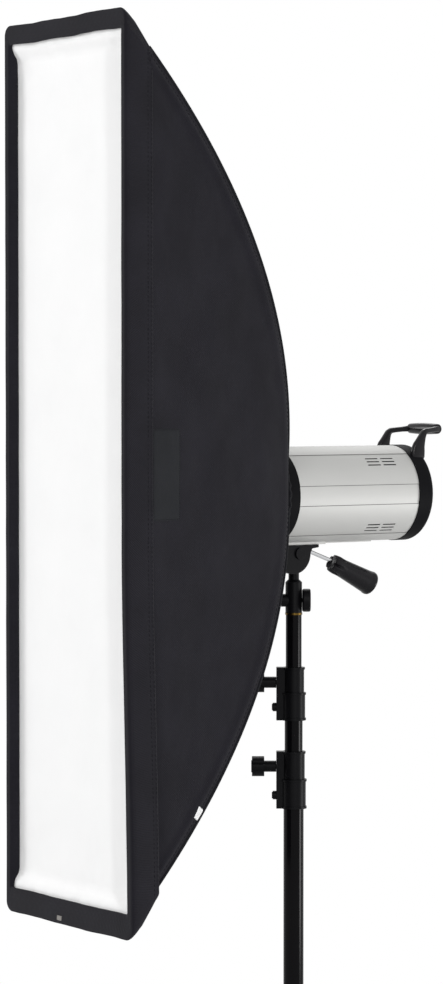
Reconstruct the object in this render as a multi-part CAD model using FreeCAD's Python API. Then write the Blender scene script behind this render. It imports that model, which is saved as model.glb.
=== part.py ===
import FreeCAD, Part
import math
import os

# Strip softbox on a flash head, carried by a tilt bracket and a folding light stand.
# Frame: +Z up, origin on the floor on the column's axis, cloth front to -Y, control panel to +Y.
# All sizes are in millimetres.

V = FreeCAD.Vector
X_AXIS = V(1, 0, 0)
Y_AXIS = V(0, 1, 0)
Z_AXIS = V(0, 0, 1)

# ---------------------------------------------------------------- clearances
RUN_GAP = 0.08           # shaft in a hole that it turns in
SLIDE_GAP = 0.3          # telescoping tubes and sliding collars
PART_GAP = 0.3           # faces of pieces that move past each other
SEAT_GAP = 0.1           # pieces seated in one another without moving

# ---------------------------------------------------------------- light stand
COLUMN_R = 14.0          # lower tube
TUBE_WALL = 1.2
MID_R = COLUMN_R - TUBE_WALL - SLIDE_GAP
TOP_R = MID_R - TUBE_WALL - SLIDE_GAP
FOOT_PAD_H = 8.0         # rubber under the lower tube
FOOT_PLUG_H = 22.0       # rubber inside the lower tube
LOWER_COLLAR_Z = 690.0   # underside of the lower clamp collar
MID_SHOWN = 43.4         # middle tube seen between the two collars
TOP_SHOWN = 73.0         # top tube seen above the upper collar
MID_LENGTH = 700.0
TOP_LENGTH = 700.0

LOWER_COLLAR_H = 79.2
LOWER_STEP_H = 40.6      # height of the wider half, which grips the outer tube
LOWER_BIG_R = 17.0
LOWER_SMALL_R = 15.5
UPPER_COLLAR_H = 73.4
UPPER_STEP_H = 38.4
UPPER_BIG_R = 16.0
UPPER_SMALL_R = 14.5
FLANGE_H = 3.0
FLANGE_LIP = 1.2
LUG_REACH = 24.0         # clamp lug, from the tube's axis
LUG_W = 15.0
KNOB_DROP = 21.0         # knob below the collar's top
BOLT_RISE = 18.0         # clamp bolt above the collar's underside
KNOB_ANGLE = -124.5      # degrees about Z, where the collar knobs point

STUD_R = 3.0
KNOB_NECK_R = 7.8
KNOB_NECK_L = 16.5
STAR_R = 14.0
STAR_L = 17.0
STAR_LOBES = 6
BOLT_HEAD_R = 6.0
BOLT_HEAD_L = 5.0

# ---------------------------------------------------------------- tripod
LEG_LENGTH = 600.0       # hinge to the centre of the foot
LEG_OPEN = 60.0          # degrees from the vertical
LEG_R = 10.0
LEG_TONGUE = 10.0        # thickness of the flat end in the clevis
HINGE_R = 38.0           # hinge pins, from the column's axis
FOOT_BALL_R = 14.0
FOOT_SLEEVE_R = 12.6
FOOT_SLEEVE_L = 38.0
BRACE_LENGTH = LEG_LENGTH / 2.0
BRACE_T = 3.0
BRACE_W = 12.0
PIN_R = 3.0
PIN_HEAD_R = 5.0
PIN_HEAD_H = 1.6
LEG_ANGLES = (-90.0, 30.0, 150.0)
BRACE_HINGE_Z = FOOT_BALL_R
LEG_HINGE_Z = BRACE_HINGE_Z + LEG_LENGTH * math.cos(math.radians(LEG_OPEN))
LEG_COLLAR_R = 19.0
BRACE_COLLAR_R = 18.5
EAR_R = 9.0              # rounded ear about a hinge pin
EAR_T = 5.0
LEG_KNOB_ANGLE = 90.0

# ---------------------------------------------------------------- stand head
SPIGOT_R = 7.9
SPIGOT_L = 34.0
SPIGOT_RING_R = 12.0
SPIGOT_RING_H = 2.8
SPIGOT_PLUG_L = 34.0
RECEIVER_R = 11.5
RECEIVER_H = 42.0
RECEIVER_BOSS_R = 9.0
RECEIVER_BOSS_REACH = 17.5
NECK_R = 7.35
FLARE_H = 4.0
PIVOT_RISE = 40.0        # tilt pivot above the receiver's shoulder
CLAMP_ANGLE = 55.5       # degrees about Z, where the receiver's disc knob points
CLAMP_KNOB_R = 16.0
CLAMP_KNOB_T = 11.6

AXIS_RISE = 81.0         # head axis above the tilt pivot
YOKE_R = 28.0
YOKE_HALF_W = 15.0
YOKE_Y = -10.0           # middle of the bracket's round cheeks
YOKE_PLATE_T = 4.0
YOKE_TOP_DROP = 69.0     # top of the bracket below the head axis
PIVOT_HEAD_R = 8.0
PIVOT_HEAD_H = 2.5
PIVOT_NUT_R = 6.5
PIVOT_NUT_H = 3.5
RAIL_FOOT_Y = 45.0       # rear end of the case's foot
RAIL_REAR_Y = 130.0
RAIL_W = 10.0
YOKE_REAR_Y = 32.0
TILT_UP = 40.0           # degrees, front up
TILT_DOWN = 15.0         # degrees, front down
TONGUE_R = 11.4
BOLT_R = 4.0
LEVER_R = 2.9
LEVER_SLOPE = 20.8       # degrees below the horizontal
LEVER_ROOT = 14.0        # rod's inner end, from above the pivot
LEVER_GRIP_AT = 68.0     # grip's inner end
GRIP_CROWN_L = 14.0
GRIP_RIM_L = 5.0
GRIP_FLUTE_R = 2.2
GRIP_FLUTES = 8
GRIP_L = 70.0
GRIP_ROOT_R = 10.0
GRIP_END_R = 17.0

# ---------------------------------------------------------------- flash head
HEAD_R = 66.7
HEAD_WALL = 3.0
HEAD_FRONT_Y = -35.5
HEAD_REAR_Y = 169.0
COLLAR_R = 65.6          # black collar in front of the metal case
BEZEL_SPIGOT_L = 8.0     # collar's spigot inside the case
BEZEL_FLANGE_T = 3.0     # flange that keeps the speed ring on the sleeve
REFLECTOR_T = 4.0
TUBE_AHEAD = 16.0        # ring tube in front of the reflector
TUBE_RING_R = 24.0
TUBE_GLASS_R = 4.5
TUBE_LEG_R = 3.5
BULB_R = 6.0
BULB_TIP = 40.0          # middle of the bulb's round tip in front of the reflector
BULB_BASE_R = 7.0
BULB_BASE_L = 14.0
GLASS_PLAY = 8.0         # dome inside the collar's bore
GLASS_L = 30.0
GLASS_WALL = 2.0
GLASS_RIM_T = 3.0
CHASSIS_Y = 10.0
CHASSIS_T = 3.0
CAN_R = 18.0
CAN_L = 80.0
CAN_CIRCLE_R = 30.0
CAN_ANGLES = (90, 210, 330)
BOARD_Y = 100.0
BOARD_T = 2.0
BOARD_HALF_W = 42.0
BOARD_HALF_H = 45.0
POST_R = 3.0
POST_PLACES = ((-40, 38), (40, 38), (0, -42))
CHIP_W = 16.0
CHIP_H = 12.0
CHIP_T = 6.0
CHIP_PLACES = ((-30, 10), (8, -20), (-10, 24))
COLLAR_BORE_R = 50.0
BAND_ANGLES = (12.0, 56.5)   # edges of the case's stepped bands, from the level
BAND_CUT = 0.7           # depth of each step
VENT_ROWS = (38.3, 43.3, 48.4, -39.7, -44.7, -50.1)
VENT_COLUMNS = (90.0, 116.5)
VENT_L = 21.6
VENT_H = 2.0
CAP_R = 67.5
CAP_DEPTH = 26.0
CAP_WALL = 4.0
PANEL_T = 3.0
PANEL_RECESS = 4.0
HANDLE_X = 40.6          # middle of each arm, beside the head's axis
HANDLE_ARM_T = 9.0
HANDLE_ARM_FOOT_Y = 179.0
HANDLE_ARM_REAR_Y = 199.0
HANDLE_ELBOW_Y = 195.0
HANDLE_ELBOW_RISE = 84.0     # above the head's axis
HANDLE_BAR_R = 4.2
HANDLE_GRIP_HALF = 32.0
HANDLE_GRIP_Y = 228.0
HANDLE_GRIP_RISE = 89.5
HANDLE_GRIP_R = 6.0
PANEL_BACK_Y = HEAD_REAR_Y + CAP_DEPTH - PANEL_RECESS
POWER_DIAL = (-24.0, 20.0)      # panel places: x, and z from the head axis
LAMP_DIAL = (24.0, 20.0)
SWITCH_AT = (-18.0, -26.0)
INLET_AT = (20.0, -26.0)
BUTTON_AT = (0.0, 40.0)
SYNC_AT = (0.0, -2.0)
DIAL_R = 12.0
DIAL_H = 11.0
BUTTON_R = 5.0
SYNC_R = 3.25
SYNC_DEPTH = 14.0
SWITCH_W = 13.0
SWITCH_H = 20.0
INLET_W = 24.0
INLET_H = 18.0
FAN_Y = HEAD_REAR_Y - 39.0
FAN_T = 20.0
FAN_HALF = 40.0
FAN_BORE_R = 37.0

# ---------------------------------------------------------------- softbox
BOX_HALF_H = 600.0       # half of the front's height
BOX_HALF_W = 150.0
BOX_DROP = 37.6          # head axis below the middle of the front
BOX_DEPTH = 315.0        # front plane to the flat of the back
CLOTH_BACK_Y = -58.4     # flat of the back
FRONT_Y = CLOTH_BACK_Y - BOX_DEPTH
CUT_W = 2.0 * BOX_HALF_W     # tools that cut the cloth reach this far sideways
CUT_H = BOX_HALF_H + 100.0   # and this far up and down
SHELL_HALF_H = 590.0     # cloth under the front band, carried on to the front
SHELL_BACK_W = 64.3      # half width of the flat back
SHELL_FLARE_W = 84.3
CLOTH_T = 2.0
CLOTH_CLEAR = 1.0        # cloth round the collar
BAND_DEPTH = 46.0        # front band that holds the rod pockets
BAND_STEP = 2.5
BAND_T = 4.5
LIP_DEPTH = 8.3
HEM_SIDE_W = 12.0
HEM_END_W = 27.0
HEM_CORNER_R = 11.0
DIFFUSER_T = 1.5
BAFFLE_AT = 130.0        # inner diffuser behind the front
BAFFLE_T = 1.0
BAFFLE_NOTCH = 26.0
ROD_R = 2.0
ROD_DEPTH = BOX_DEPTH - 24.0
ROD_INSET = 5.0          # rods under the cloth
ROD_TIP_INSET = 14.0     # rod tips below the corner of the cloth
SOCKET_PLAY = 0.3        # room for the rods' bend in their sockets
ROD_ARCS = 4
RING_PLAY = 0.3          # speed ring on the collar's sleeve
RING_FLANGE = 2.5        # lip that keeps the ring on the sleeve
RING_R = 68.0
RING_BORE_R = 56.3
RING_Y = -72.0           # rear face of the speed ring
RING_T = 20.0
LOCK_R = 2.5             # thumb screw in the ring
LOCK_L = 14.0
LOCK_HEAD_R = 7.0
LOCK_HEAD_L = 10.0
SOCKET_R = 5.5
SOCKET_L = 24.0
ROD_ROOT = 46.0          # rod sockets beside and above the head axis

# ---------------------------------------------------------------- heights that follow
LOWER_COLLAR_TOP = LOWER_COLLAR_Z + LOWER_COLLAR_H
UPPER_COLLAR_Z = LOWER_COLLAR_TOP + MID_SHOWN
UPPER_COLLAR_TOP = UPPER_COLLAR_Z + UPPER_COLLAR_H
TOP_TUBE_TOP = UPPER_COLLAR_TOP + TOP_SHOWN
RECEIVER_Z = TOP_TUBE_TOP + SPIGOT_RING_H + PART_GAP
RECEIVER_TOP = RECEIVER_Z + RECEIVER_H
PIVOT_Z = RECEIVER_TOP + PIVOT_RISE
AXIS_Z = PIVOT_Z + AXIS_RISE
BOX_Z = AXIS_Z + BOX_DROP
CLAMP_Z = RECEIVER_Z + 0.4 * RECEIVER_H


# ================================================================ helpers
def cyl(r, h, base, axis):
    """Cylinder of radius r and length h from base along axis."""
    return Part.makeCylinder(r, h, base, axis)


def z_cyl(r, z0, z1):
    """Upright cylinder on the column's axis."""
    return cyl(r, z1 - z0, V(0, 0, z0), Z_AXIS)


def z_tube(outer, inner, z0, z1):
    """Upright tube on the column's axis."""
    return z_cyl(outer, z0, z1).cut(z_cyl(inner, z0 - 1, z1 + 1))


def head_cyl(r, y0, y1):
    """Cylinder on the head's axis."""
    return cyl(r, y1 - y0, V(0, y0, AXIS_Z), Y_AXIS)


def head_tube(outer, inner, y0, y1):
    """Tube on the head's axis."""
    return head_cyl(outer, y0, y1).cut(head_cyl(inner, y0 - 1, y1 + 1))


def block(x0, x1, y0, y1, z0, z1):
    """Box between two corners."""
    return Part.makeBox(x1 - x0, y1 - y0, z1 - z0, V(x0, y0, z0))


def turned(shape, angle):
    """Copy of a shape turned about the column's axis."""
    copy = shape.copy()
    copy.rotate(V(0, 0, 0), Z_AXIS, angle)
    return copy


def fused(shapes):
    """One solid from several that touch or overlap."""
    result = shapes[0]
    for shape in shapes[1:]:
        result = result.fuse(shape)
    return result.removeSplitter()


def write(node, shape):
    """Save one node."""
    shape.exportStep("parts/%s.step" % node)


def tangent_arcs(points, direction):
    """Smooth wire of circular arcs through the points, leaving the first along direction."""
    edges = []
    way = V(direction).normalize()
    for start, end in zip(points[:-1], points[1:]):
        span = end - start
        along = V(span).normalize()
        side = way - along * way.dot(along)
        bow = way.getAngle(along)
        middle = (start + end) * 0.5
        if side.Length > 1e-6:
            middle = middle + V(side).normalize() * (span.Length / 2.0 * math.tan(bow / 2.0))
        edges.append(Part.Arc(start, middle, end).toShape())
        way = along * (2.0 * way.dot(along)) - way
    return Part.Wire(edges)


def round_bar(path, start, direction, r):
    """Round bar swept along a path."""
    section = Part.Wire(Part.makeCircle(r, start, direction))
    return path.makePipeShell([section], True, False)


# ================================================================ stand
def column_tube():
    """Lower tube, from its rubber foot up into the lower collar."""
    top = LOWER_COLLAR_Z + LOWER_STEP_H - FLANGE_H
    return z_tube(COLUMN_R, COLUMN_R - TUBE_WALL, FOOT_PAD_H, top)


def column_foot():
    """Rubber pad with a plug that fills the end of the lower tube."""
    pad = z_cyl(COLUMN_R - SEAT_GAP, 0, FOOT_PAD_H)
    plug = z_cyl(COLUMN_R - TUBE_WALL - SEAT_GAP, FOOT_PAD_H - 1, FOOT_PAD_H + FOOT_PLUG_H)
    return pad.fuse(plug).removeSplitter()


def mid_tube():
    """Middle tube: held by the upper collar, slides in the lower one."""
    top = UPPER_COLLAR_Z + UPPER_STEP_H - FLANGE_H
    return z_tube(MID_R, MID_R - TUBE_WALL, top - MID_LENGTH, top)


def top_tube():
    """Top tube: slides in the upper collar and carries the spigot."""
    return z_tube(TOP_R, TOP_R - TUBE_WALL, TOP_TUBE_TOP - TOP_LENGTH, TOP_TUBE_TOP)


def clamp_collar(z0, height, step, big_r, small_r, tube_r, sliding_r):
    """Moulded clamp collar: wide half on the outer tube, narrow half round the sliding tube."""
    top = z0 + height
    body = [
        z_cyl(big_r, z0, z0 + step),
        z_cyl(small_r, z0 + step, top),
        z_cyl(big_r + FLANGE_LIP, z0, z0 + FLANGE_H),
        z_cyl(big_r + FLANGE_LIP, z0 + step - FLANGE_H, z0 + step),
        z_cyl(small_r + FLANGE_LIP, top - FLANGE_H, top),
        block(0, LUG_REACH, -LUG_W / 2, LUG_W / 2, z0, top),
    ]
    collar = fused(body)
    rim = cyl(LUG_W / 2 + 4, 2, V(LUG_REACH - 2, 0, top - KNOB_DROP), X_AXIS)
    collar = collar.fuse(rim)
    collar = collar.cut(z_cyl(tube_r + SEAT_GAP / 2, z0 - 1, z0 + step - FLANGE_H))
    collar = collar.cut(z_cyl(sliding_r + SLIDE_GAP, z0, top + 1))
    split = block(0, LUG_REACH + 1, -1, 1, z0 - 1, z0 + step - FLANGE_H - 1)
    collar = collar.cut(split)
    knob_hole = cyl(STUD_R + RUN_GAP, LUG_REACH + 2, V(0, 0, top - KNOB_DROP), X_AXIS)
    collar = collar.cut(knob_hole)
    return turned(collar, KNOB_ANGLE)


def clamp_bolt(z0, r):
    """Round-headed bolt through the split of a collar's lug."""
    z = z0 + BOLT_RISE
    head = cyl(BOLT_HEAD_R, BOLT_HEAD_L, V(LUG_REACH, 0, z), X_AXIS)
    dome = cyl(BOLT_HEAD_R - 1.5, 1.2, V(LUG_REACH + BOLT_HEAD_L, 0, z), X_AXIS)
    shank_l = LUG_REACH - r - 1
    shank = cyl(0.9, shank_l, V(LUG_REACH - shank_l, 0, z), X_AXIS)
    return turned(fused([head, dome, shank]), KNOB_ANGLE)


def star_knob(z, tube_r, reach, angle):
    """Six-lobed clamp knob with its neck and threaded stud."""
    start = reach + PART_GAP
    neck = cyl(KNOB_NECK_R, KNOB_NECK_L, V(start, 0, z), X_AXIS)
    star = cyl(STAR_R, STAR_L, V(start + KNOB_NECK_L, 0, z), X_AXIS)
    for i in range(STAR_LOBES):
        a = 2 * math.pi * (i + 0.5) / STAR_LOBES
        base = V(start + KNOB_NECK_L - 1, (STAR_R + 2.6) * math.cos(a), z + (STAR_R + 2.6) * math.sin(a))
        star = star.cut(cyl(4.6, STAR_L + 2, base, X_AXIS))
    crown = cyl(STAR_R - 5.5, 1.0, V(start + KNOB_NECK_L + STAR_L, 0, z), X_AXIS)
    stud_start = tube_r + PART_GAP
    stud = cyl(STUD_R, start - stud_start, V(stud_start, 0, z), X_AXIS)
    return turned(fused([neck, star, crown, stud]), angle)


def spigot():
    """Brass stud: plug in the top tube, shoulder ring and grooved stud for the receiver."""
    bore = TOP_R - TUBE_WALL - SEAT_GAP
    plug = z_cyl(bore, TOP_TUBE_TOP - SPIGOT_PLUG_L, TOP_TUBE_TOP + 1)
    ring = z_cyl(SPIGOT_RING_R, TOP_TUBE_TOP, TOP_TUBE_TOP + SPIGOT_RING_H)
    stud = z_cyl(SPIGOT_R, TOP_TUBE_TOP + 1, RECEIVER_Z + SPIGOT_L)
    groove = z_tube(SPIGOT_R + 1, SPIGOT_R - 1.2, CLAMP_Z - 5, CLAMP_Z + 5)
    return fused([plug, ring, stud]).cut(groove)


# ================================================================ tripod
def leg_collar():
    """Sliding collar with three clevises for the legs and a boss for its lock knob."""
    z = LEG_HINGE_Z
    gap = LEG_TONGUE / 2 + PART_GAP
    solids = [z_cyl(LEG_COLLAR_R, z - 14, z + 30)]
    for angle in LEG_ANGLES:
        for side in (-1, 1):
            inner = min(side * gap, side * (gap + EAR_T))
            ear = cyl(EAR_R, EAR_T, V(HINGE_R, inner, z), Y_AXIS)
            web = block(COLUMN_R + 2, HINGE_R, inner, inner + EAR_T, z - EAR_R, z + EAR_R)
            solids.append(turned(ear.fuse(web), angle))
    boss = block(COLUMN_R + 1, LUG_REACH, -8, 8, z + 12, z + 28)
    solids.append(turned(boss, LEG_KNOB_ANGLE))
    collar = fused(solids)
    collar = collar.cut(z_cyl(COLUMN_R + SLIDE_GAP, z - 20, z + 40))
    for angle in LEG_ANGLES:
        hole = cyl(PIN_R + SEAT_GAP / 2, 40, V(HINGE_R, -20, z), Y_AXIS)
        collar = collar.cut(turned(hole, angle))
    knob_hole = cyl(STUD_R + RUN_GAP, LUG_REACH, V(COLUMN_R - 1, 0, z + 20), X_AXIS)
    return collar.cut(turned(knob_hole, LEG_KNOB_ANGLE))


def leg_hinge_pins():
    """Three headed pins that carry the legs."""
    half = LEG_TONGUE / 2 + PART_GAP + EAR_T
    return Part.makeCompound([turned(hinge_pin(half, LEG_HINGE_Z), a) for a in LEG_ANGLES])


def hinge_pin(half, z):
    """Pin across a clevis with a flat head at both ends."""
    shank = cyl(PIN_R, 2 * half, V(HINGE_R, -half, z), Y_AXIS)
    head_a = cyl(PIN_HEAD_R, PIN_HEAD_H, V(HINGE_R, -half - PIN_HEAD_H, z), Y_AXIS)
    head_b = cyl(PIN_HEAD_R, PIN_HEAD_H, V(HINGE_R, half, z), Y_AXIS)
    return fused([head_a, shank, head_b])


def brace_collar():
    """Fixed collar at the column's foot with three tongues for the braces."""
    z = BRACE_HINGE_Z
    half = LEG_R + PART_GAP
    solids = [z_cyl(BRACE_COLLAR_R, z - 10, z + 10)]
    for angle in LEG_ANGLES:
        ear = cyl(EAR_R, 2 * half, V(HINGE_R, -half, z), Y_AXIS)
        web = block(COLUMN_R, HINGE_R, -half, half, z - EAR_R, z + EAR_R)
        solids.append(turned(ear.fuse(web), angle))
    collar = fused(solids)
    collar = collar.cut(z_cyl(COLUMN_R + SEAT_GAP / 2, z - 20, z + 20))
    for angle in LEG_ANGLES:
        hole = cyl(PIN_R + SEAT_GAP / 2, 40, V(HINGE_R, -20, z), Y_AXIS)
        collar = collar.cut(turned(hole, angle))
    return collar


def base_fasteners():
    """Brace pins at the foot and the clamp bolt of the lower collar."""
    half = LEG_R + PART_GAP + 2 * PART_GAP + BRACE_T + PART_GAP
    pins = [turned(hinge_pin(half, BRACE_HINGE_Z), a) for a in LEG_ANGLES]
    pins.append(clamp_bolt(LOWER_COLLAR_Z, COLUMN_R))
    return Part.makeCompound(pins)


def along_leg(shape):
    """Place a shape modelled along +X from the origin on an open leg's line at angle 0."""
    copy = shape.copy()
    copy.rotate(V(0, 0, 0), Y_AXIS, 90.0 - LEG_OPEN)
    copy.translate(V(HINGE_R, 0, LEG_HINGE_Z))
    return copy


def leg(angle):
    """Leg tube with a flat tongue at the collar and a flush pivot boss half way down."""
    bore = PIN_R + RUN_GAP
    eye = cyl(EAR_R - 0.5, LEG_TONGUE, V(0, -LEG_TONGUE / 2, 0), Y_AXIS)
    tongue = block(0, 24, -LEG_TONGUE / 2, LEG_TONGUE / 2, -EAR_R + 0.5, EAR_R - 0.5)
    start = EAR_R + 5.0
    plug = cyl(LEG_R - TUBE_WALL + 0.2, 14, V(start, 0, 0), X_AXIS)
    tube = cyl(LEG_R, LEG_LENGTH - 10 - start, V(start, 0, 0), X_AXIS)
    tube = tube.cut(cyl(LEG_R - TUBE_WALL, LEG_LENGTH, V(start - 1, 0, 0), X_AXIS))
    boss = cyl(PIN_R + 2, 2 * LEG_R - 0.6, V(BRACE_LENGTH, -LEG_R + 0.3, 0), Y_AXIS)
    solid = fused([eye.fuse(tongue).common(block(-20, 60, -6, 6, -LEG_R, LEG_R)), plug, tube, boss])
    solid = solid.cut(cyl(bore, 40, V(0, -20, 0), Y_AXIS))
    return turned(along_leg(solid), angle)


def foot(angle):
    """Rubber ball foot with a sleeve over the end of a leg."""
    ball = Part.makeSphere(FOOT_BALL_R, V(LEG_LENGTH, 0, 0))
    sleeve = cyl(FOOT_SLEEVE_R, FOOT_SLEEVE_L, V(LEG_LENGTH - FOOT_SLEEVE_L, 0, 0), X_AXIS)
    bore = cyl(LEG_R + SEAT_GAP / 2, LEG_LENGTH - 10 + SEAT_GAP, V(0, 0, 0), X_AXIS)
    return turned(along_leg(ball.fuse(sleeve).cut(bore)), angle)


def brace(angle):
    """Two flat bars that straddle a leg, with rivet heads on their outer faces at the leg."""
    near = LEG_R + 3 * PART_GAP
    bars = []
    for side in (-1, 1):
        low = min(side * near, side * (near + BRACE_T))
        bar = block(0, BRACE_LENGTH, low, low + BRACE_T, -BRACE_W / 2, BRACE_W / 2)
        for x in (0, BRACE_LENGTH):
            bar = bar.fuse(cyl(BRACE_W / 2, BRACE_T, V(x, low, 0), Y_AXIS))
        outer = low if side < 0 else low + BRACE_T
        head_y = outer - PIN_HEAD_H if side < 0 else outer
        bar = bar.fuse(cyl(PIN_HEAD_R - 1, PIN_HEAD_H, V(BRACE_LENGTH, head_y, 0), Y_AXIS))
        bar = bar.cut(cyl(PIN_R + RUN_GAP, BRACE_T + 2, V(0, low - 1, 0), Y_AXIS))
        bar.rotate(V(0, 0, 0), Y_AXIS, LEG_OPEN - 90.0)
        bar.translate(V(HINGE_R, 0, BRACE_HINGE_Z))
        bars.append(turned(bar, angle))
    return Part.makeCompound(bars)


# ================================================================ stand head and tilt bracket
def swept_notch(reach):
    """Room for the neck in the bracket over the whole tilt, as a wedge round the pivot."""
    half = NECK_R + PART_GAP + 0.2
    low = math.radians(-TILT_DOWN - 2.0)
    high = math.radians(TILT_UP + 2.0)
    low_dir = V(0, math.sin(low), -math.cos(low))
    high_dir = V(0, math.sin(high), -math.cos(high))
    low_side = V(0, -math.cos(low), -math.sin(low))
    high_side = V(0, math.cos(high), math.sin(high))
    pivot = V(-NECK_R - PART_GAP, 0, PIVOT_Z)
    corners = [
        pivot + low_side * half,
        pivot + low_side * half + low_dir * reach,
        pivot + high_side * half + high_dir * reach,
        pivot + high_side * half,
    ]
    corners.append(corners[0])
    face = Part.Face(Part.makePolygon(corners))
    return face.extrude(V(2 * (NECK_R + PART_GAP), 0, 0))


def adapter():
    """Receiver for the stand's stud, with its neck and the tongue that the bracket tilts on."""
    receiver = z_cyl(RECEIVER_R, RECEIVER_Z, RECEIVER_TOP)
    flare = Part.makeCone(RECEIVER_R, NECK_R, FLARE_H, V(0, 0, RECEIVER_TOP), Z_AXIS)
    neck = z_cyl(NECK_R, RECEIVER_TOP, PIVOT_Z - 4)
    tongue = cyl(TONGUE_R, 2 * NECK_R, V(-NECK_R, 0, PIVOT_Z), X_AXIS)
    boss = cyl(RECEIVER_BOSS_R, RECEIVER_BOSS_REACH, V(-RECEIVER_BOSS_REACH, 0, CLAMP_Z), X_AXIS)
    solid = fused([receiver, flare, neck, tongue, turned(boss, CLAMP_ANGLE)])
    solid = solid.cut(z_cyl(SPIGOT_R + RUN_GAP, RECEIVER_Z - 5, RECEIVER_Z + SPIGOT_L + PART_GAP))
    solid = solid.cut(cyl(BOLT_R + RUN_GAP, 60, V(-30, 0, PIVOT_Z), X_AXIS))
    screw_hole = cyl(STUD_R + RUN_GAP, 40, V(0, 0, CLAMP_Z), X_AXIS)
    return solid.cut(turned(screw_hole, CLAMP_ANGLE))


def clamp_knob():
    """Disc knob whose screw holds the receiver on the stud."""
    start = RECEIVER_R + PART_GAP
    disc = cyl(CLAMP_KNOB_R, CLAMP_KNOB_T, V(start, 0, CLAMP_Z), X_AXIS)
    disc = disc.makeFillet(2.5, [e for e in disc.Edges if len(e.Vertexes) == 1])
    dish = cyl(CLAMP_KNOB_R - 5, 1.5, V(start + CLAMP_KNOB_T - 1.5, 0, CLAMP_Z), X_AXIS)
    tip = SPIGOT_R - 1.2 + PART_GAP
    screw = cyl(STUD_R, start + 2 - tip, V(tip, 0, CLAMP_Z), X_AXIS)
    return turned(disc.cut(dish).fuse(screw).removeSplitter(), CLAMP_ANGLE)


def tilt_bracket():
    """Bracket with a round underside; its two cheeks take the adapter's tongue."""
    top = AXIS_Z - YOKE_TOP_DROP
    front = YOKE_Y - YOKE_R
    rear = YOKE_Y + YOKE_R
    disc = cyl(YOKE_R, 2 * YOKE_HALF_W, V(-YOKE_HALF_W, YOKE_Y, PIVOT_Z), X_AXIS)
    outline = [
        V(-YOKE_HALF_W, front, top),
        V(-YOKE_HALF_W, YOKE_REAR_Y, top),
        V(-YOKE_HALF_W, YOKE_REAR_Y, top - YOKE_PLATE_T),
        V(-YOKE_HALF_W, rear + 3, top - YOKE_PLATE_T - 1.5),
        V(-YOKE_HALF_W, rear, PIVOT_Z),
        V(-YOKE_HALF_W, front, PIVOT_Z),
    ]
    outline.append(outline[0])
    body = Part.Face(Part.makePolygon(outline)).extrude(V(2 * YOKE_HALF_W, 0, 0))
    solid = disc.fuse(body)
    solid = solid.common(block(-YOKE_HALF_W, YOKE_HALF_W, -60, 60, PIVOT_Z - 60, top))
    slot_half = NECK_R + PART_GAP
    solid = solid.cut(cyl(TONGUE_R + 0.9, 2 * slot_half, V(-slot_half, 0, PIVOT_Z), X_AXIS))
    solid = solid.cut(block(-slot_half, slot_half, -TONGUE_R - 0.9, TONGUE_R + 0.9, PIVOT_Z, top + 1))
    solid = solid.cut(swept_notch(2 * YOKE_R))
    solid = solid.cut(cyl(BOLT_R + SEAT_GAP / 2, 60, V(-30, 0, PIVOT_Z), X_AXIS))
    hole = cyl(LEVER_R + RUN_GAP, 40, lever_point(LEVER_ROOT - 0.1), lever_direction())
    return solid.cut(hole).removeSplitter()


def lever_direction():
    """Unit vector down the clamp lever."""
    slope = math.radians(LEVER_SLOPE)
    return V(0, math.cos(slope), -math.sin(slope))


def lever_point(distance):
    """Point on the clamp lever's axis, counted from above the pivot."""
    return V(0, 0, AXIS_Z - YOKE_TOP_DROP) + lever_direction() * distance


def pivot_bolt():
    """Bolt, head and nut of the tilt pivot."""
    shank = cyl(BOLT_R, 2 * YOKE_HALF_W, V(-YOKE_HALF_W, 0, PIVOT_Z), X_AXIS)
    head = cyl(PIVOT_HEAD_R, PIVOT_HEAD_H, V(YOKE_HALF_W, 0, PIVOT_Z), X_AXIS)
    nut = cyl(PIVOT_NUT_R, PIVOT_NUT_H, V(-YOKE_HALF_W - PIVOT_NUT_H, 0, PIVOT_Z), X_AXIS)
    return fused([nut, shank, head])


def lever_rod():
    """Chromed rod of the tilt lever."""
    return cyl(LEVER_R, LEVER_GRIP_AT - LEVER_ROOT, lever_point(LEVER_ROOT), lever_direction())


def lever_grip():
    """Tapered grip of the tilt lever with a fluted crown and a rimmed end."""
    way = lever_direction()
    crown = Part.makeCone(GRIP_ROOT_R - 2, GRIP_ROOT_R + 1, GRIP_CROWN_L, lever_point(LEVER_GRIP_AT), way)
    cone_at = LEVER_GRIP_AT + GRIP_CROWN_L
    cone_l = GRIP_L - GRIP_CROWN_L - GRIP_RIM_L
    cone = Part.makeCone(GRIP_ROOT_R, GRIP_END_R - 1.5, cone_l, lever_point(cone_at), way)
    rim = cyl(GRIP_END_R, GRIP_RIM_L, lever_point(cone_at + cone_l), way)
    solid = fused([crown, cone, rim])
    up = way.cross(X_AXIS)
    for i in range(GRIP_FLUTES):
        a = 2 * math.pi * i / GRIP_FLUTES
        offset = (X_AXIS * math.cos(a) + up * math.sin(a)) * (GRIP_ROOT_R + GRIP_FLUTE_R)
        flute = cyl(GRIP_FLUTE_R, GRIP_CROWN_L - 2, lever_point(LEVER_GRIP_AT - 1) + offset, way)
        solid = solid.cut(flute)
    return solid


def mount_rail():
    """Silver foot and rail under the case that the bracket bolts to."""
    top = AXIS_Z - HEAD_R + 6
    under = AXIS_Z - YOKE_TOP_DROP
    plate = block(-YOKE_HALF_W + 2, YOKE_HALF_W - 2, YOKE_Y - YOKE_R, RAIL_FOOT_Y, under, top)
    rail = block(-RAIL_W / 2, RAIL_W / 2, RAIL_FOOT_Y - 5, RAIL_REAR_Y, under + 1, top)
    return plate.fuse(rail).cut(head_cyl(HEAD_R, RING_Y, HEAD_REAR_Y))


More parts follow.
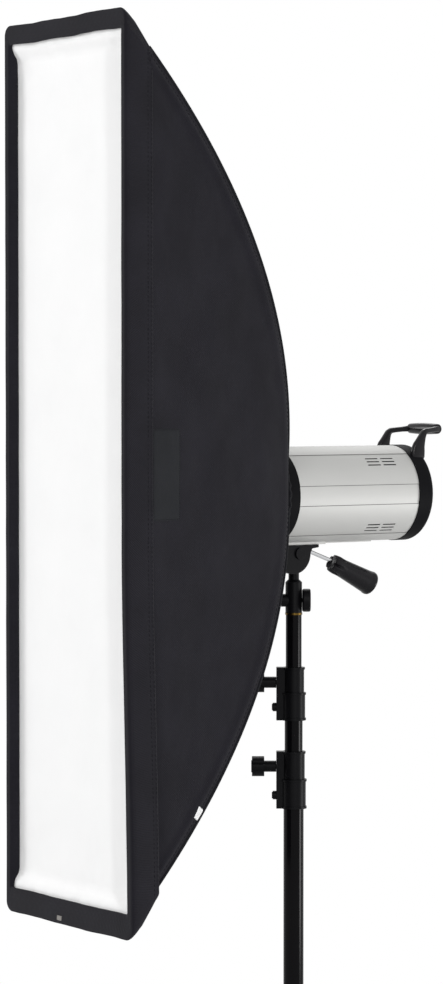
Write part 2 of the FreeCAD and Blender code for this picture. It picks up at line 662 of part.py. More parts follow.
# ================================================================ flash head
def case_band(half_angle, depth):
    """Layer taken off both flanks of the case, up to an angle above and below the level."""
    y0 = HEAD_FRONT_Y - 1
    length = HEAD_REAR_Y - HEAD_FRONT_Y + 2
    ring = head_tube(HEAD_R + 1, HEAD_R - depth, y0, y0 + length)
    across = 2 * HEAD_R * math.cos(math.radians(half_angle))
    rise = 2 * HEAD_R * math.sin(math.radians(half_angle))
    flanks = []
    for side in (-1, 1):
        axis = V(0, y0, AXIS_Z)
        upper = V(side * across, y0, AXIS_Z + rise)
        lower = V(side * across, y0, AXIS_Z - rise)
        face = Part.Face(Part.makePolygon([axis, upper, lower, axis]))
        flanks.append(face.extrude(V(0, length, 0)))
    return ring.common(Part.makeCompound(flanks))


def body_shell():
    """Extruded case: tube with stepped bands and rows of vent slots on both sides."""
    solid = head_tube(HEAD_R, HEAD_R - HEAD_WALL, HEAD_FRONT_Y, HEAD_REAR_Y)
    for steps, angle in enumerate(reversed(BAND_ANGLES)):
        solid = solid.cut(case_band(angle, BAND_CUT * (steps + 1)))
    slots = []
    for row in VENT_ROWS:
        for angle in (row, 180 - row):
            for start in VENT_COLUMNS:
                slot = block(HEAD_R - 8, HEAD_R + 3, start, start + VENT_L, -VENT_H / 2, VENT_H / 2)
                slot.rotate(V(0, 0, 0), Y_AXIS, -angle)
                slots.append(slot)
    tools = Part.makeCompound(slots)
    tools.translate(V(0, 0, AXIS_Z))
    return solid.cut(tools)


def front_bezel():
    """Black collar with the bayonet sleeve that the softbox's ring turns on."""
    gap = PART_GAP
    collar = head_tube(COLLAR_R, COLLAR_BORE_R, RING_Y + gap, HEAD_FRONT_Y)
    sleeve_r = RING_BORE_R - RING_PLAY
    sleeve_end = RING_Y - RING_T - gap
    sleeve = head_tube(sleeve_r, COLLAR_BORE_R, sleeve_end, RING_Y + gap)
    flange_r = RING_BORE_R + RING_FLANGE
    flange = head_tube(flange_r, COLLAR_BORE_R, sleeve_end - BEZEL_FLANGE_T, sleeve_end)
    spigot_r = HEAD_R - HEAD_WALL - SEAT_GAP
    spigot_ring = head_tube(spigot_r, COLLAR_BORE_R, HEAD_FRONT_Y, HEAD_FRONT_Y + BEZEL_SPIGOT_L)
    return fused([collar, sleeve, flange, spigot_ring])


def reflector_plate():
    """White disc inside the collar that carries the lamp and the tube."""
    return head_cyl(COLLAR_BORE_R - SEAT_GAP, HEAD_FRONT_Y, HEAD_FRONT_Y + REFLECTOR_T)


def flash_tube():
    """Ring-shaped glass tube on two legs."""
    y = HEAD_FRONT_Y - TUBE_AHEAD
    ring = Part.makeTorus(TUBE_RING_R, TUBE_GLASS_R, V(0, y, AXIS_Z), Y_AXIS)
    legs = [cyl(TUBE_LEG_R, TUBE_AHEAD, V(x, y, AXIS_Z), Y_AXIS) for x in (-TUBE_RING_R, TUBE_RING_R)]
    return fused([ring] + legs)


def modelling_lamp():
    """Modelling lamp: ceramic-based bulb on the head's axis."""
    base = head_cyl(BULB_BASE_R, HEAD_FRONT_Y - BULB_BASE_L, HEAD_FRONT_Y)
    bulb = head_cyl(BULB_R, HEAD_FRONT_Y - BULB_TIP, HEAD_FRONT_Y - BULB_BASE_L)
    tip = Part.makeSphere(BULB_R, V(0, HEAD_FRONT_Y - BULB_TIP, AXIS_Z))
    return fused([base, bulb, tip])


def glass_cover():
    """Clear dome over the tube and the lamp, held in the collar's bore."""
    r = COLLAR_BORE_R - GLASS_PLAY
    y0 = HEAD_FRONT_Y
    y1 = y0 - GLASS_L
    outer = head_cyl(r, y1, y0).fuse(Part.makeSphere(r, V(0, y1, AXIS_Z)))
    outer = outer.common(block(-2 * r, 2 * r, y1 - 2 * r, y0, AXIS_Z - 2 * r, AXIS_Z + 2 * r))
    inner_r = r - GLASS_WALL
    inner = head_cyl(inner_r, y1, y0 + 1).fuse(Part.makeSphere(inner_r, V(0, y1, AXIS_Z)))
    rim = head_tube(COLLAR_BORE_R - SEAT_GAP, r - GLASS_WALL / 2, y0 - GLASS_RIM_T, y0)
    return outer.fuse(rim).cut(inner)


def chassis_plate():
    """Round bulkhead inside the case that the capacitors stand on."""
    return head_cyl(HEAD_R - HEAD_WALL - SEAT_GAP, CHASSIS_Y, CHASSIS_Y + CHASSIS_T)


def capacitors():
    """Three storage capacitors."""
    cans = []
    for angle in CAN_ANGLES:
        x = CAN_CIRCLE_R * math.cos(math.radians(angle))
        z = CAN_CIRCLE_R * math.sin(math.radians(angle))
        cans.append(cyl(CAN_R, CAN_L, V(x, CHASSIS_Y + CHASSIS_T, AXIS_Z + z), Y_AXIS))
    return Part.makeCompound(cans)


def circuit_board():
    """Control board, upright between the capacitors and the fan."""
    foot_y = CHASSIS_Y + CHASSIS_T
    face_y = BOARD_Y + BOARD_T
    under, over = AXIS_Z - BOARD_HALF_H, AXIS_Z + BOARD_HALF_H
    board = block(-BOARD_HALF_W, BOARD_HALF_W, BOARD_Y, face_y, under, over)
    posts = [cyl(POST_R, BOARD_Y - foot_y, V(x, foot_y, AXIS_Z + z), Y_AXIS) for x, z in POST_PLACES]
    chips = []
    for x, z in CHIP_PLACES:
        low = AXIS_Z + z
        chips.append(block(x, x + CHIP_W, face_y, face_y + CHIP_T, low, low + CHIP_H))
    return fused([board] + posts + chips)


def rear_cap():
    """Black cap ring with a rounded rear edge and a seat for the panel."""
    rear = HEAD_REAR_Y + CAP_DEPTH
    outer = head_cyl(CAP_R, HEAD_REAR_Y, rear)
    rear_edge = [e for e in outer.Edges if abs(e.CenterOfMass.y - rear) < 0.1]
    outer = outer.makeFillet(7.0, rear_edge)
    bore = head_cyl(CAP_R - CAP_WALL - 4, HEAD_REAR_Y - 1, rear - PANEL_RECESS)
    mouth = head_cyl(CAP_R - CAP_WALL - 6, rear - PANEL_RECESS - 1, rear + 1)
    inner_ring = head_tube(HEAD_R - HEAD_WALL - SEAT_GAP, CAP_R - CAP_WALL - 4, HEAD_REAR_Y - 6, HEAD_REAR_Y)
    return outer.cut(bore).cut(mouth).fuse(inner_ring).removeSplitter()


def rear_panel():
    """Control panel behind the cap's lip, with the holes for what it carries."""
    y0 = PANEL_BACK_Y - PANEL_T
    solid = head_cyl(CAP_R - CAP_WALL - 4 - SEAT_GAP, y0, PANEL_BACK_Y)
    for x, z in (POWER_DIAL, LAMP_DIAL):
        solid = solid.cut(cyl(3.0 + RUN_GAP, 20, V(x, y0 - 5, AXIS_Z + z), Y_AXIS))
    x, z = BUTTON_AT
    solid = solid.cut(cyl(BUTTON_R + RUN_GAP, 20, V(x, y0 - 5, AXIS_Z + z), Y_AXIS))
    x, z = SYNC_AT
    solid = solid.cut(cyl(6.0 + SEAT_GAP, 20, V(x, y0 - 5, AXIS_Z + z), Y_AXIS))
    for at, w, h in ((SWITCH_AT, SWITCH_W + 5, SWITCH_H + 5), (INLET_AT, INLET_W + 4, INLET_H + 4)):
        w2 = w / 2 + SEAT_GAP
        h2 = h / 2 + SEAT_GAP
        z = AXIS_Z + at[1]
        solid = solid.cut(block(at[0] - w2, at[0] + w2, y0 - 5, y0 + 15, z - h2, z + h2))
    return solid


def dial(place):
    """Fluted dial with a pointer ridge and a short shaft through the panel."""
    x, z = place
    z = AXIS_Z + z
    y = PANEL_BACK_Y + PART_GAP
    knob = Part.makeCone(DIAL_R, DIAL_R - 1.5, DIAL_H, V(x, y, z), Y_AXIS)
    for i in range(12):
        a = 2 * math.pi * (i + 0.5) / 12
        base = V(x + (DIAL_R + 0.4) * math.cos(a), y + 2.5, z + (DIAL_R + 0.4) * math.sin(a))
        knob = knob.cut(cyl(1.6, DIAL_H, base, Y_AXIS))
    ridge = block(x - 1, x + 1, y + DIAL_H - 0.5, y + DIAL_H + 1.0, z, z + DIAL_R - 3)
    shaft = cyl(3.0, PANEL_T + 4, V(x, y - PANEL_T - 3, z), Y_AXIS)
    return fused([knob, ridge, shaft])


def test_button():
    """Round test button; its collar stops it behind the panel."""
    x, z = BUTTON_AT
    z = AXIS_Z + z
    cap = cyl(BUTTON_R, PANEL_T + 6, V(x, PANEL_BACK_Y - PANEL_T - 2, z), Y_AXIS)
    collar = cyl(BUTTON_R + 1.5, 1.7, V(x, PANEL_BACK_Y - PANEL_T - 2, z), Y_AXIS)
    return fused([cap, collar])


def switch_frame():
    """Frame of the mains switch, a box open to the rear."""
    x, z = SWITCH_AT
    z = AXIS_Z + z
    y0 = PANEL_BACK_Y - 16
    w = SWITCH_W / 2 + 2.5
    h = SWITCH_H / 2 + 2.5
    solid = block(x - w, x + w, y0, PANEL_BACK_Y + 1.5, z - h, z + h)
    inner_w = SWITCH_W / 2 + PART_GAP
    inner_h = SWITCH_H / 2 + PART_GAP
    solid = solid.cut(block(x - inner_w, x + inner_w, y0 + 2, PANEL_BACK_Y + 5, z - inner_h, z + inner_h))
    pin_l = 2 * w - 2
    return solid.cut(cyl(1.5 + RUN_GAP, pin_l, V(x - w + 1, PANEL_BACK_Y - 4, z), X_AXIS))


def rocker():
    """Rocker of the mains switch with its two trunnions."""
    x, z = SWITCH_AT
    z = AXIS_Z + z
    yc = PANEL_BACK_Y - 4
    half = SWITCH_H / 2 - 1.5
    profile = [
        V(x - SWITCH_W / 2, yc - 3, z - half + 2),
        V(x - SWITCH_W / 2, yc + 7, z - half),
        V(x - SWITCH_W / 2, yc + 4.5, z),
        V(x - SWITCH_W / 2, yc + 5.5, z + half),
        V(x - SWITCH_W / 2, yc - 3, z + half - 2),
    ]
    profile.append(profile[0])
    body = Part.Face(Part.makePolygon(profile)).extrude(V(SWITCH_W, 0, 0))
    pin_half = SWITCH_W / 2 + 1.3
    return body.fuse(cyl(1.5, 2 * pin_half, V(x - pin_half, yc, z), X_AXIS)).removeSplitter()


def power_inlet():
    """Three-pin mains inlet with a chamfered recess."""
    x, z = INLET_AT
    z = AXIS_Z + z
    w = INLET_W / 2
    h = INLET_H / 2
    y0 = PANEL_BACK_Y - 20
    body = block(x - w - 2, x + w + 2, y0, PANEL_BACK_Y, z - h - 2, z + h + 2)
    flange = block(x - w - 3.5, x + w + 3.5, PANEL_BACK_Y, PANEL_BACK_Y + 1.5, z - h - 3.5, z + h + 3.5)
    recess = block(x - w, x + w, y0 + 3, PANEL_BACK_Y + 5, z - h, z + h)
    solid = body.fuse(flange).cut(recess)
    blades = [block(x + dx - 1, x + dx + 1, y0 + 2, y0 + 12, z + dz - 2, z + dz + 2)
              for dx, dz in ((-7, -4), (0, 2), (7, -4))]
    return fused([solid] + blades)


def sync_socket():
    """Jack socket for the trigger lead, held by a washer flange."""
    x, z = SYNC_AT
    z = AXIS_Z + z
    barrel = cyl(6.0, SYNC_DEPTH + 3, V(x, PANEL_BACK_Y - SYNC_DEPTH - 1, z), Y_AXIS)
    flange = cyl(8.0, 2.0, V(x, PANEL_BACK_Y, z), Y_AXIS)
    bore = cyl(SYNC_R, SYNC_DEPTH, V(x, PANEL_BACK_Y + 2 - SYNC_DEPTH, z), Y_AXIS)
    return barrel.fuse(flange).cut(bore).removeSplitter()


def fan_frame():
    """Square fan frame with a spider that carries the motor shaft, on four posts to the cap."""
    solid = block(-FAN_HALF, FAN_HALF, FAN_Y, FAN_Y + FAN_T, AXIS_Z - FAN_HALF, AXIS_Z + FAN_HALF)
    solid = solid.cut(head_cyl(FAN_BORE_R, FAN_Y - 1, FAN_Y + FAN_T + 1))
    solid = solid.fuse(head_cyl(12, FAN_Y + FAN_T - 4, FAN_Y + FAN_T))
    for i in range(4):
        arm = block(0, FAN_BORE_R + 1, FAN_Y + FAN_T - 4, FAN_Y + FAN_T, -1.5, 1.5)
        arm.rotate(V(0, 0, 0), Y_AXIS, 90 * i)
        arm.translate(V(0, 0, AXIS_Z))
        solid = solid.fuse(arm)
    for x in (-1, 1):
        for z in (-1, 1):
            at = V(x * (FAN_HALF - 3), FAN_Y + FAN_T, AXIS_Z + z * (FAN_HALF - 3))
            solid = solid.fuse(cyl(2.5, PANEL_BACK_Y - PANEL_T - FAN_Y - FAN_T, at, Y_AXIS))
    solid = solid.cut(head_cyl(2.0 + RUN_GAP, FAN_Y, FAN_Y + FAN_T + 1))
    return solid.removeSplitter()


def fan_rotor():
    """Seven-bladed fan with its hub and shaft."""
    hub = head_cyl(13, FAN_Y + 1, FAN_Y + FAN_T - 4 - 0.6)
    solid = hub.fuse(head_cyl(2.0, FAN_Y + 1, FAN_Y + FAN_T - 0.5))
    for i in range(7):
        blade = block(11, FAN_BORE_R - 1.0, -6, 6, -0.9, 0.9)
        blade.rotate(V(0, 0, 0), X_AXIS, 35)
        blade = blade.common(cyl(FAN_BORE_R - 1.0, 30, V(0, -15, 0), Y_AXIS))
        blade.rotate(V(0, 0, 0), Y_AXIS, 360.0 * i / 7)
        blade.translate(V(0, FAN_Y + 8, AXIS_Z))
        solid = solid.fuse(blade)
    return solid


def handle():
    """Carrying handle: two flat arms on the cap, bars that lean back, and a round grip."""
    grip_z = AXIS_Z + HANDLE_GRIP_RISE
    parts = [cyl(HANDLE_GRIP_R, 2 * HANDLE_GRIP_HALF, V(-HANDLE_GRIP_HALF, HANDLE_GRIP_Y, grip_z), X_AXIS)]
    foot = AXIS_Z + HANDLE_ELBOW_RISE / 2
    top = AXIS_Z + HANDLE_ELBOW_RISE + HANDLE_BAR_R
    for side in (-1, 1):
        x0 = side * HANDLE_X - HANDLE_ARM_T / 2
        outline = [
            V(x0, HANDLE_ARM_FOOT_Y, foot),
            V(x0, HANDLE_ARM_REAR_Y, foot),
            V(x0, HANDLE_ARM_REAR_Y, top),
            V(x0, HANDLE_ELBOW_Y - HANDLE_BAR_R, top),
            V(x0, HANDLE_ARM_FOOT_Y + 4, AXIS_Z + CAP_R),
        ]
        outline.append(outline[0])
        parts.append(Part.Face(Part.makePolygon(outline)).extrude(V(HANDLE_ARM_T, 0, 0)))
        elbow = V(side * HANDLE_X, HANDLE_ELBOW_Y, AXIS_Z + HANDLE_ELBOW_RISE)
        end = V(side * (HANDLE_GRIP_HALF - 1), HANDLE_GRIP_Y, grip_z)
        parts.append(cyl(HANDLE_BAR_R, (end - elbow).Length, elbow, end - elbow))
    solid = fused(parts)
    return solid.cut(head_cyl(CAP_R + SEAT_GAP, HEAD_FRONT_Y, HANDLE_GRIP_Y))


# ================================================================ softbox
def arc_flank(half, depth, base, tip):
    """Parabolic flank of the cloth, from the front plane to the flat of the back."""
    # half: distance from base that the flank spans; base and tip are functions to 3-D points
    curve = Part.BezierCurve()
    curve.setPoles([base(half, 0), base(half / 2.0, depth), tip(0, depth)])
    return curve.toShape()


def profile_prism(offset):
    """Side outline of the cloth body, carried across its width."""
    half = SHELL_HALF_H - offset
    depth = BOX_DEPTH - offset

    def upper(h, d):
        return V(-CUT_W, FRONT_Y + d, BOX_Z + h)

    def lower(h, d):
        return V(-CUT_W, FRONT_Y + d, BOX_Z - h)

    top = arc_flank(half, depth, upper, upper)
    bottom = arc_flank(half, depth, lower, lower)
    front = Part.makeLine(lower(half, 0), upper(half, 0))
    face = Part.Face(Part.Wire(Part.__sortEdges__([top, bottom, front])))
    return face.extrude(V(2.0 * CUT_W, 0, 0))


def plan_prism(offset):
    """Plan outline of the cloth body, carried over its height."""
    back = SHELL_BACK_W - offset
    depth = BOX_DEPTH - offset
    z = BOX_Z - CUT_H

    def right(h, d):
        return V(back + h, FRONT_Y + d, z)

    def left(h, d):
        return V(-back - h, FRONT_Y + d, z)

    flank_r = arc_flank(SHELL_FLARE_W, depth, right, right)
    flank_l = arc_flank(SHELL_FLARE_W, depth, left, left)
    rear = Part.makeLine(left(0, depth), right(0, depth))
    front = Part.makeLine(left(SHELL_FLARE_W, 0), right(SHELL_FLARE_W, 0))
    face = Part.Face(Part.Wire(Part.__sortEdges__([flank_r, rear, flank_l, front])))
    return face.extrude(V(0, 0, 2.0 * CUT_H))


def cloth_space():
    """Where the cloth panels may lie: behind the front band and round the collar."""
    space = block(-CUT_W, CUT_W, FRONT_Y + BAND_DEPTH, 0, BOX_Z - CUT_H, BOX_Z + CUT_H)
    return space.cut(head_cyl(COLLAR_R + CLOTH_CLEAR, 2 * RING_Y, HEAD_REAR_Y))


def side_panels(space):
    """Left and right cloth panels."""
    skin = plan_prism(0).cut(plan_prism(CLOTH_T))
    skin = skin.common(profile_prism(0)).common(space)
    left = skin.common(block(-CUT_W, -SHELL_BACK_W + 20, FRONT_Y, 0, BOX_Z - CUT_H, BOX_Z + CUT_H))
    right = skin.common(block(SHELL_BACK_W - 20, CUT_W, FRONT_Y, 0, BOX_Z - CUT_H, BOX_Z + CUT_H))
    return left, right


def end_panels(space):
    """Top and bottom cloth panels, which meet across the back beside the collar."""
    skin = profile_prism(0).cut(profile_prism(CLOTH_T))
    skin = skin.common(plan_prism(CLOTH_T)).common(space)
    top = skin.common(block(-CUT_W, CUT_W, FRONT_Y, 0, BOX_Z, BOX_Z + CUT_H))
    bottom = skin.common(block(-CUT_W, CUT_W, FRONT_Y, 0, BOX_Z - CUT_H, BOX_Z))
    return top, bottom


def rounded_frame_wire(y, half_w, half_h, r):
    """Rectangle with rounded corners in a plane across the head axis."""
    r = max(r, 0.5)
    w = half_w - r
    h = half_h - r
    c = math.sqrt(0.5)
    edges = []
    for sx, sz in ((1, 1), (-1, 1), (-1, -1), (1, -1)):
        a = V(sx * half_w, y, BOX_Z + sz * h)
        b = V(sx * (w + r * c), y, BOX_Z + sz * (h + r * c))
        d = V(sx * w, y, BOX_Z + sz * half_h)
        edges.append(Part.Arc(a, b, d).toShape())
    edges.append(Part.makeLine(V(w, y, BOX_Z + half_h), V(-w, y, BOX_Z + half_h)))
    edges.append(Part.makeLine(V(w, y, BOX_Z - half_h), V(-w, y, BOX_Z - half_h)))
    edges.append(Part.makeLine(V(half_w, y, BOX_Z + h), V(half_w, y, BOX_Z - h)))
    edges.append(Part.makeLine(V(-half_w, y, BOX_Z + h), V(-half_w, y, BOX_Z - h)))
    return Part.Wire(Part.__sortEdges__(edges))


def band_half_sizes(depth):
    """Outer half width and half height of the front band at a depth behind the front."""
    share = math.sqrt(1.0 - BAND_DEPTH / BOX_DEPTH)
    rear_w = SHELL_BACK_W + SHELL_FLARE_W * share + BAND_STEP
    rear_h = SHELL_HALF_H * share + BAND_STEP
    t = depth / BAND_DEPTH
    return BOX_HALF_W + (rear_w - BOX_HALF_W) * t, BOX_HALF_H + (rear_h - BOX_HALF_H) * t


def band_loft(depth0, depth1, inset, r):
    """Solid between two cross-sections of the band, set in from its outer face."""
    wires = []
    for depth in (depth0, depth1):
        w, h = band_half_sizes(depth)
        wires.append(rounded_frame_wire(FRONT_Y + depth, w - inset, h - inset, r))
    return Part.makeLoft(wires, True, True)


def front_hem():
    """Band round the front with its turned-in lip."""
    outer = band_loft(0, BAND_DEPTH, 0, HEM_CORNER_R)
    inner = band_loft(LIP_DEPTH, BAND_DEPTH + 1, BAND_T, HEM_CORNER_R - BAND_T)
    w = BOX_HALF_W - HEM_SIDE_W
    h = BOX_HALF_H - HEM_END_W
    mouth = block(-w, w, FRONT_Y - 1, FRONT_Y + LIP_DEPTH + 1, BOX_Z - h, BOX_Z + h)
    return outer.cut(inner).cut(mouth)


def front_diffuser():
    """White cloth stretched behind the lip."""
    d0 = LIP_DEPTH
    d1 = LIP_DEPTH + DIFFUSER_T
    return band_loft(d0, d1, BAND_T + SEAT_GAP, HEM_CORNER_R - BAND_T)


def inner_baffle():
    """Second white cloth inside, tied off at the four rods."""
    y = FRONT_Y + BAFFLE_AT
    slab = block(-CUT_W, CUT_W, y, y + BAFFLE_T, BOX_Z - CUT_H, BOX_Z + CUT_H)
    sheet = slab.common(profile_prism(CLOTH_T + SEAT_GAP)).common(plan_prism(CLOTH_T + SEAT_GAP))
    share = math.sqrt(1.0 - BAFFLE_AT / BOX_DEPTH)
    w = SHELL_BACK_W + SHELL_FLARE_W * share
    h = SHELL_HALF_H * share
    for sx in (-1, 1):
        for sz in (-1, 1):
            x = sx * (w - BAFFLE_NOTCH / 2)
            z = BOX_Z + sz * (h - BAFFLE_NOTCH / 2)
            half = BAFFLE_NOTCH / 2 + 4
            sheet = sheet.cut(block(x - half, x + half, y - 1, y + 3, z - half, z + half))
    return sheet


def rod_point(side, end, share):
    """Point on a spring rod: level steps across the front, parabola in depth."""
    root_v = ROD_ROOT - end * BOX_DROP
    half_h = SHELL_HALF_H - ROD_INSET
    tip_v = half_h - ROD_TIP_INSET
    tip_x = SHELL_BACK_W + SHELL_FLARE_W - ROD_TIP_INSET * BOX_HALF_W / BOX_HALF_H - 6.0
    v = root_v + (tip_v - root_v) * share
    x = ROD_ROOT + (tip_x - ROD_ROOT) * share
    depth = ROD_DEPTH * (1.0 - (v / half_h) ** 2)
    return V(side * x, FRONT_Y + depth, BOX_Z + end * v)


def rod_way(side, end):
    """Direction in which a spring rod leaves its socket."""
    step = 0.001
    return (rod_point(side, end, step) - rod_point(side, end, 0)).normalize()


def spring_rods():
    """Four bent rods from the ring's sockets to the front corners."""
    rods = []
    for side in (-1, 1):
        for end in (-1, 1):
            points = [rod_point(side, end, i / ROD_ARCS) for i in range(ROD_ARCS + 1)]
            path = tangent_arcs(points, rod_way(side, end))
            rods.append(round_bar(path, points[0], rod_way(side, end), ROD_R))
    return Part.makeCompound(rods)


def speed_ring():
    """Metal ring on the head's sleeve, with a socket for each rod and the thumb screw's hole."""
    solid = head_cyl(RING_R, RING_Y - RING_T, RING_Y)
    bores = []
    for side in (-1, 1):
        for end in (-1, 1):
            root = rod_point(side, end, 0)
            way = rod_way(side, end)
            solid = solid.fuse(cyl(SOCKET_R, SOCKET_L, root - way * 4, way))
            bores.append(cyl(ROD_R + SOCKET_PLAY, SOCKET_L, root - way * 0.5, way))
    solid = solid.cut(head_cyl(RING_BORE_R, RING_Y - RING_T - 20, RING_Y + 20))
    for bore in bores:
        solid = solid.cut(bore)
    hole_at = V(0, RING_Y - RING_T / 2, AXIS_Z - 2 * RING_R)
    hole = cyl(LOCK_R + RUN_GAP, 2 * RING_R - RING_BORE_R / 2, hole_at, Z_AXIS)
    return solid.removeSplitter().cut(hole)


def ring_lock():
    """Thumb screw in the speed ring that clamps it on the sleeve."""
    y = RING_Y - RING_T / 2
    screw = cyl(LOCK_R, LOCK_L, V(0, y, AXIS_Z - RING_BORE_R - PART_GAP - LOCK_L), Z_AXIS)
    head = cyl(LOCK_HEAD_R, LOCK_HEAD_L, V(0, y, AXIS_Z - RING_R - PART_GAP - LOCK_HEAD_L), Z_AXIS)
    return screw.fuse(head).removeSplitter()


# ================================================================ assembly
def main():
    """Build every node and save it."""
    os.makedirs("parts", exist_ok=True)

    write("column_tube", column_tube())
    write("column_foot", column_foot())
    write("mid_tube", mid_tube())
    write("top_tube", top_tube())
    write("lower_collar", clamp_collar(LOWER_COLLAR_Z, LOWER_COLLAR_H, LOWER_STEP_H, LOWER_BIG_R,
                                       LOWER_SMALL_R, COLUMN_R, MID_R))
    write("upper_collar", clamp_collar(UPPER_COLLAR_Z, UPPER_COLLAR_H, UPPER_STEP_H, UPPER_BIG_R,
                                       UPPER_SMALL_R, MID_R, TOP_R))
    write("upper_collar_bolt", clamp_bolt(UPPER_COLLAR_Z, MID_R))
    write("lower_knob", star_knob(LOWER_COLLAR_TOP - KNOB_DROP, MID_R, LUG_REACH, KNOB_ANGLE))
    write("upper_knob", star_knob(UPPER_COLLAR_TOP - KNOB_DROP, TOP_R, LUG_REACH, KNOB_ANGLE))
    write("spigot", spigot())

    write("leg_collar", leg_collar())
    write("leg_collar_knob", star_knob(LEG_HINGE_Z + 20, COLUMN_R, LUG_REACH, LEG_KNOB_ANGLE))
    write("leg_hinge_pins", leg_hinge_pins())
    write("brace_collar", brace_collar())
    write("base_fasteners", base_fasteners())
    for i, angle in enumerate(LEG_ANGLES):
        write("leg_%d" % (i + 1), leg(angle))
        write("foot_%d" % (i + 1), foot(angle))
        write("brace_%d" % (i + 1), brace(angle))

    write("adapter", adapter())
    write("clamp_knob", clamp_knob())
    write("tilt_bracket", tilt_bracket())
    write("pivot_bolt", pivot_bolt())
    write("lever_rod", lever_rod())
    write("lever_grip", lever_grip())
    write("mount_rail", mount_rail())

    write("body_shell", body_shell())
    write("front_bezel", front_bezel())
    write("reflector_plate", reflector_plate())
    write("flash_tube", flash_tube())
    write("modelling_lamp", modelling_lamp())
    write("glass_cover", glass_cover())
    write("chassis_plate", chassis_plate())
    write("capacitors", capacitors())
    write("circuit_board", circuit_board())
    write("rear_cap", rear_cap())
    write("rear_panel", rear_panel())
    write("power_dial", dial(POWER_DIAL))
    write("lamp_dial", dial(LAMP_DIAL))
    write("test_button", test_button())
    write("rear_sockets", Part.makeCompound([switch_frame(), power_inlet(), sync_socket()]))
    write("rocker_switch", rocker())
    write("fan_frame", fan_frame())
    write("fan_rotor", fan_rotor())
    write("handle", handle())

    space = cloth_space()
    left, right = side_panels(space)
    top, bottom = end_panels(space)
    write("cloth_left", left)
    write("cloth_right", right)
    write("cloth_top", top)
    write("cloth_bottom", bottom)
    write("front_hem", front_hem())
    write("front_diffuser", front_diffuser())
    write("inner_baffle", inner_baffle())
    write("spring_rods", spring_rods())
    write("speed_ring", speed_ring())
    write("ring_lock", ring_lock())


main()
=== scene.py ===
"""Strip softbox on a flash head, carried by a tilt bracket and a folding light stand."""
import logging
import math
from dataclasses import dataclass
from enum import Enum
from typing import Callable

import bmesh
import bpy
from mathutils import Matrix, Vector, noise


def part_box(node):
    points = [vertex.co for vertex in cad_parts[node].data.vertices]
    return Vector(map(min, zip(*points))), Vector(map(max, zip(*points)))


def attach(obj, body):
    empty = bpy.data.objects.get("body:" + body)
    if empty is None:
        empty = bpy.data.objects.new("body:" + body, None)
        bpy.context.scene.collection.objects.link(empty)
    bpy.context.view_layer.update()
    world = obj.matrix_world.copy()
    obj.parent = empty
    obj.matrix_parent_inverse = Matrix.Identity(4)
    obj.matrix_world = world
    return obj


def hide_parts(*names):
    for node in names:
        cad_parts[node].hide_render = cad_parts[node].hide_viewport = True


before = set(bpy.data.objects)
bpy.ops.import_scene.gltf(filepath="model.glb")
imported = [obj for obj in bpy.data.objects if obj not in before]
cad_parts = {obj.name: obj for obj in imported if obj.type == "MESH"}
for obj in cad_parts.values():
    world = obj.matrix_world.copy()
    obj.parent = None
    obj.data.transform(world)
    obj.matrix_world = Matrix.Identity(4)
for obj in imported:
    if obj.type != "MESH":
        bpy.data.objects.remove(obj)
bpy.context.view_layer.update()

MM = 0.001
LOG = logging.getLogger("softbox")
Obj = bpy.types.Object
Mat = bpy.types.Material
Tree = bpy.types.NodeTree
Socket = bpy.types.NodeSocket


class Side(Enum):
    """Left and right of the head, seen from behind it."""

    LEFT = -1
    RIGHT = 1


class End(Enum):
    """Lower and upper end of the long cloth body."""

    BOTTOM = -1
    TOP = 1


class Grain(Enum):
    """Which way the fine marks of a surface run: stretch of the pattern along x, y and z."""

    EVEN = (1.0, 1.0, 1.0)
    ALONG_Y = (1.0, 0.02, 1.0)
    ALONG_Z = (1.0, 1.0, 0.02)


# ---------------------------------------------------------------- nodes and colours
def linear(hex_code: str) -> tuple[float, float, float, float]:
    """Turn an sRGB hex colour into linear RGBA.

    Args:
        hex_code: Six hex digits.

    Returns:
        Linear red, green, blue and alpha.
    """
    parts = [int(hex_code[i:i + 2], 16) / 255 for i in (0, 2, 4)]
    low = [p / 12.92 if p <= 0.04045 else ((p + 0.055) / 1.055) ** 2.4 for p in parts]
    return (low[0], low[1], low[2], 1.0)


def add(tree: Tree, kind: str, settings: dict | None = None,
        inputs: dict | None = None) -> bpy.types.Node:
    """Add one node with its settings, values and links.

    Args:
        tree: Node tree that takes the node.
        kind: Node type name.
        settings: Properties of the node.
        inputs: Socket name or number to a value, or to the socket that feeds it.

    Returns:
        The new node.
    """
    node = tree.nodes.new(kind)
    for name, value in (settings or {}).items():
        setattr(node, name, value)
    for key, value in (inputs or {}).items():
        if isinstance(value, Socket):
            tree.links.new(value, node.inputs[key])
        else:
            node.inputs[key].default_value = value
    return node


def calc(tree: Tree, operation: str, *values: object) -> Socket:
    """Add one math node.

    Args:
        tree: Node tree that takes the node.
        operation: What the node works out.
        values: Numbers or sockets that it works on.

    Returns:
        Its result.
    """
    node = add(tree, "ShaderNodeMath", {"operation": operation}, dict(enumerate(values)))
    return node.outputs[0]


def blend(tree: Tree, share: Socket, first: object, second: object) -> Socket:
    """Add one node that mixes two colours.

    Args:
        tree: Node tree that takes the node.
        share: Share of the second colour.
        first: Colour or socket.
        second: Colour or socket.

    Returns:
        The mixed colour.
    """
    node = add(tree, "ShaderNodeMix", {"data_type": "RGBA"}, {0: share, 6: first, 7: second})
    return node.outputs[2]


def new_material(name: str) -> tuple[Mat, Tree]:
    """Start a material and give its node tree with it."""
    mat = bpy.data.materials.new(name)
    mat.use_nodes = True
    return mat, mat.node_tree


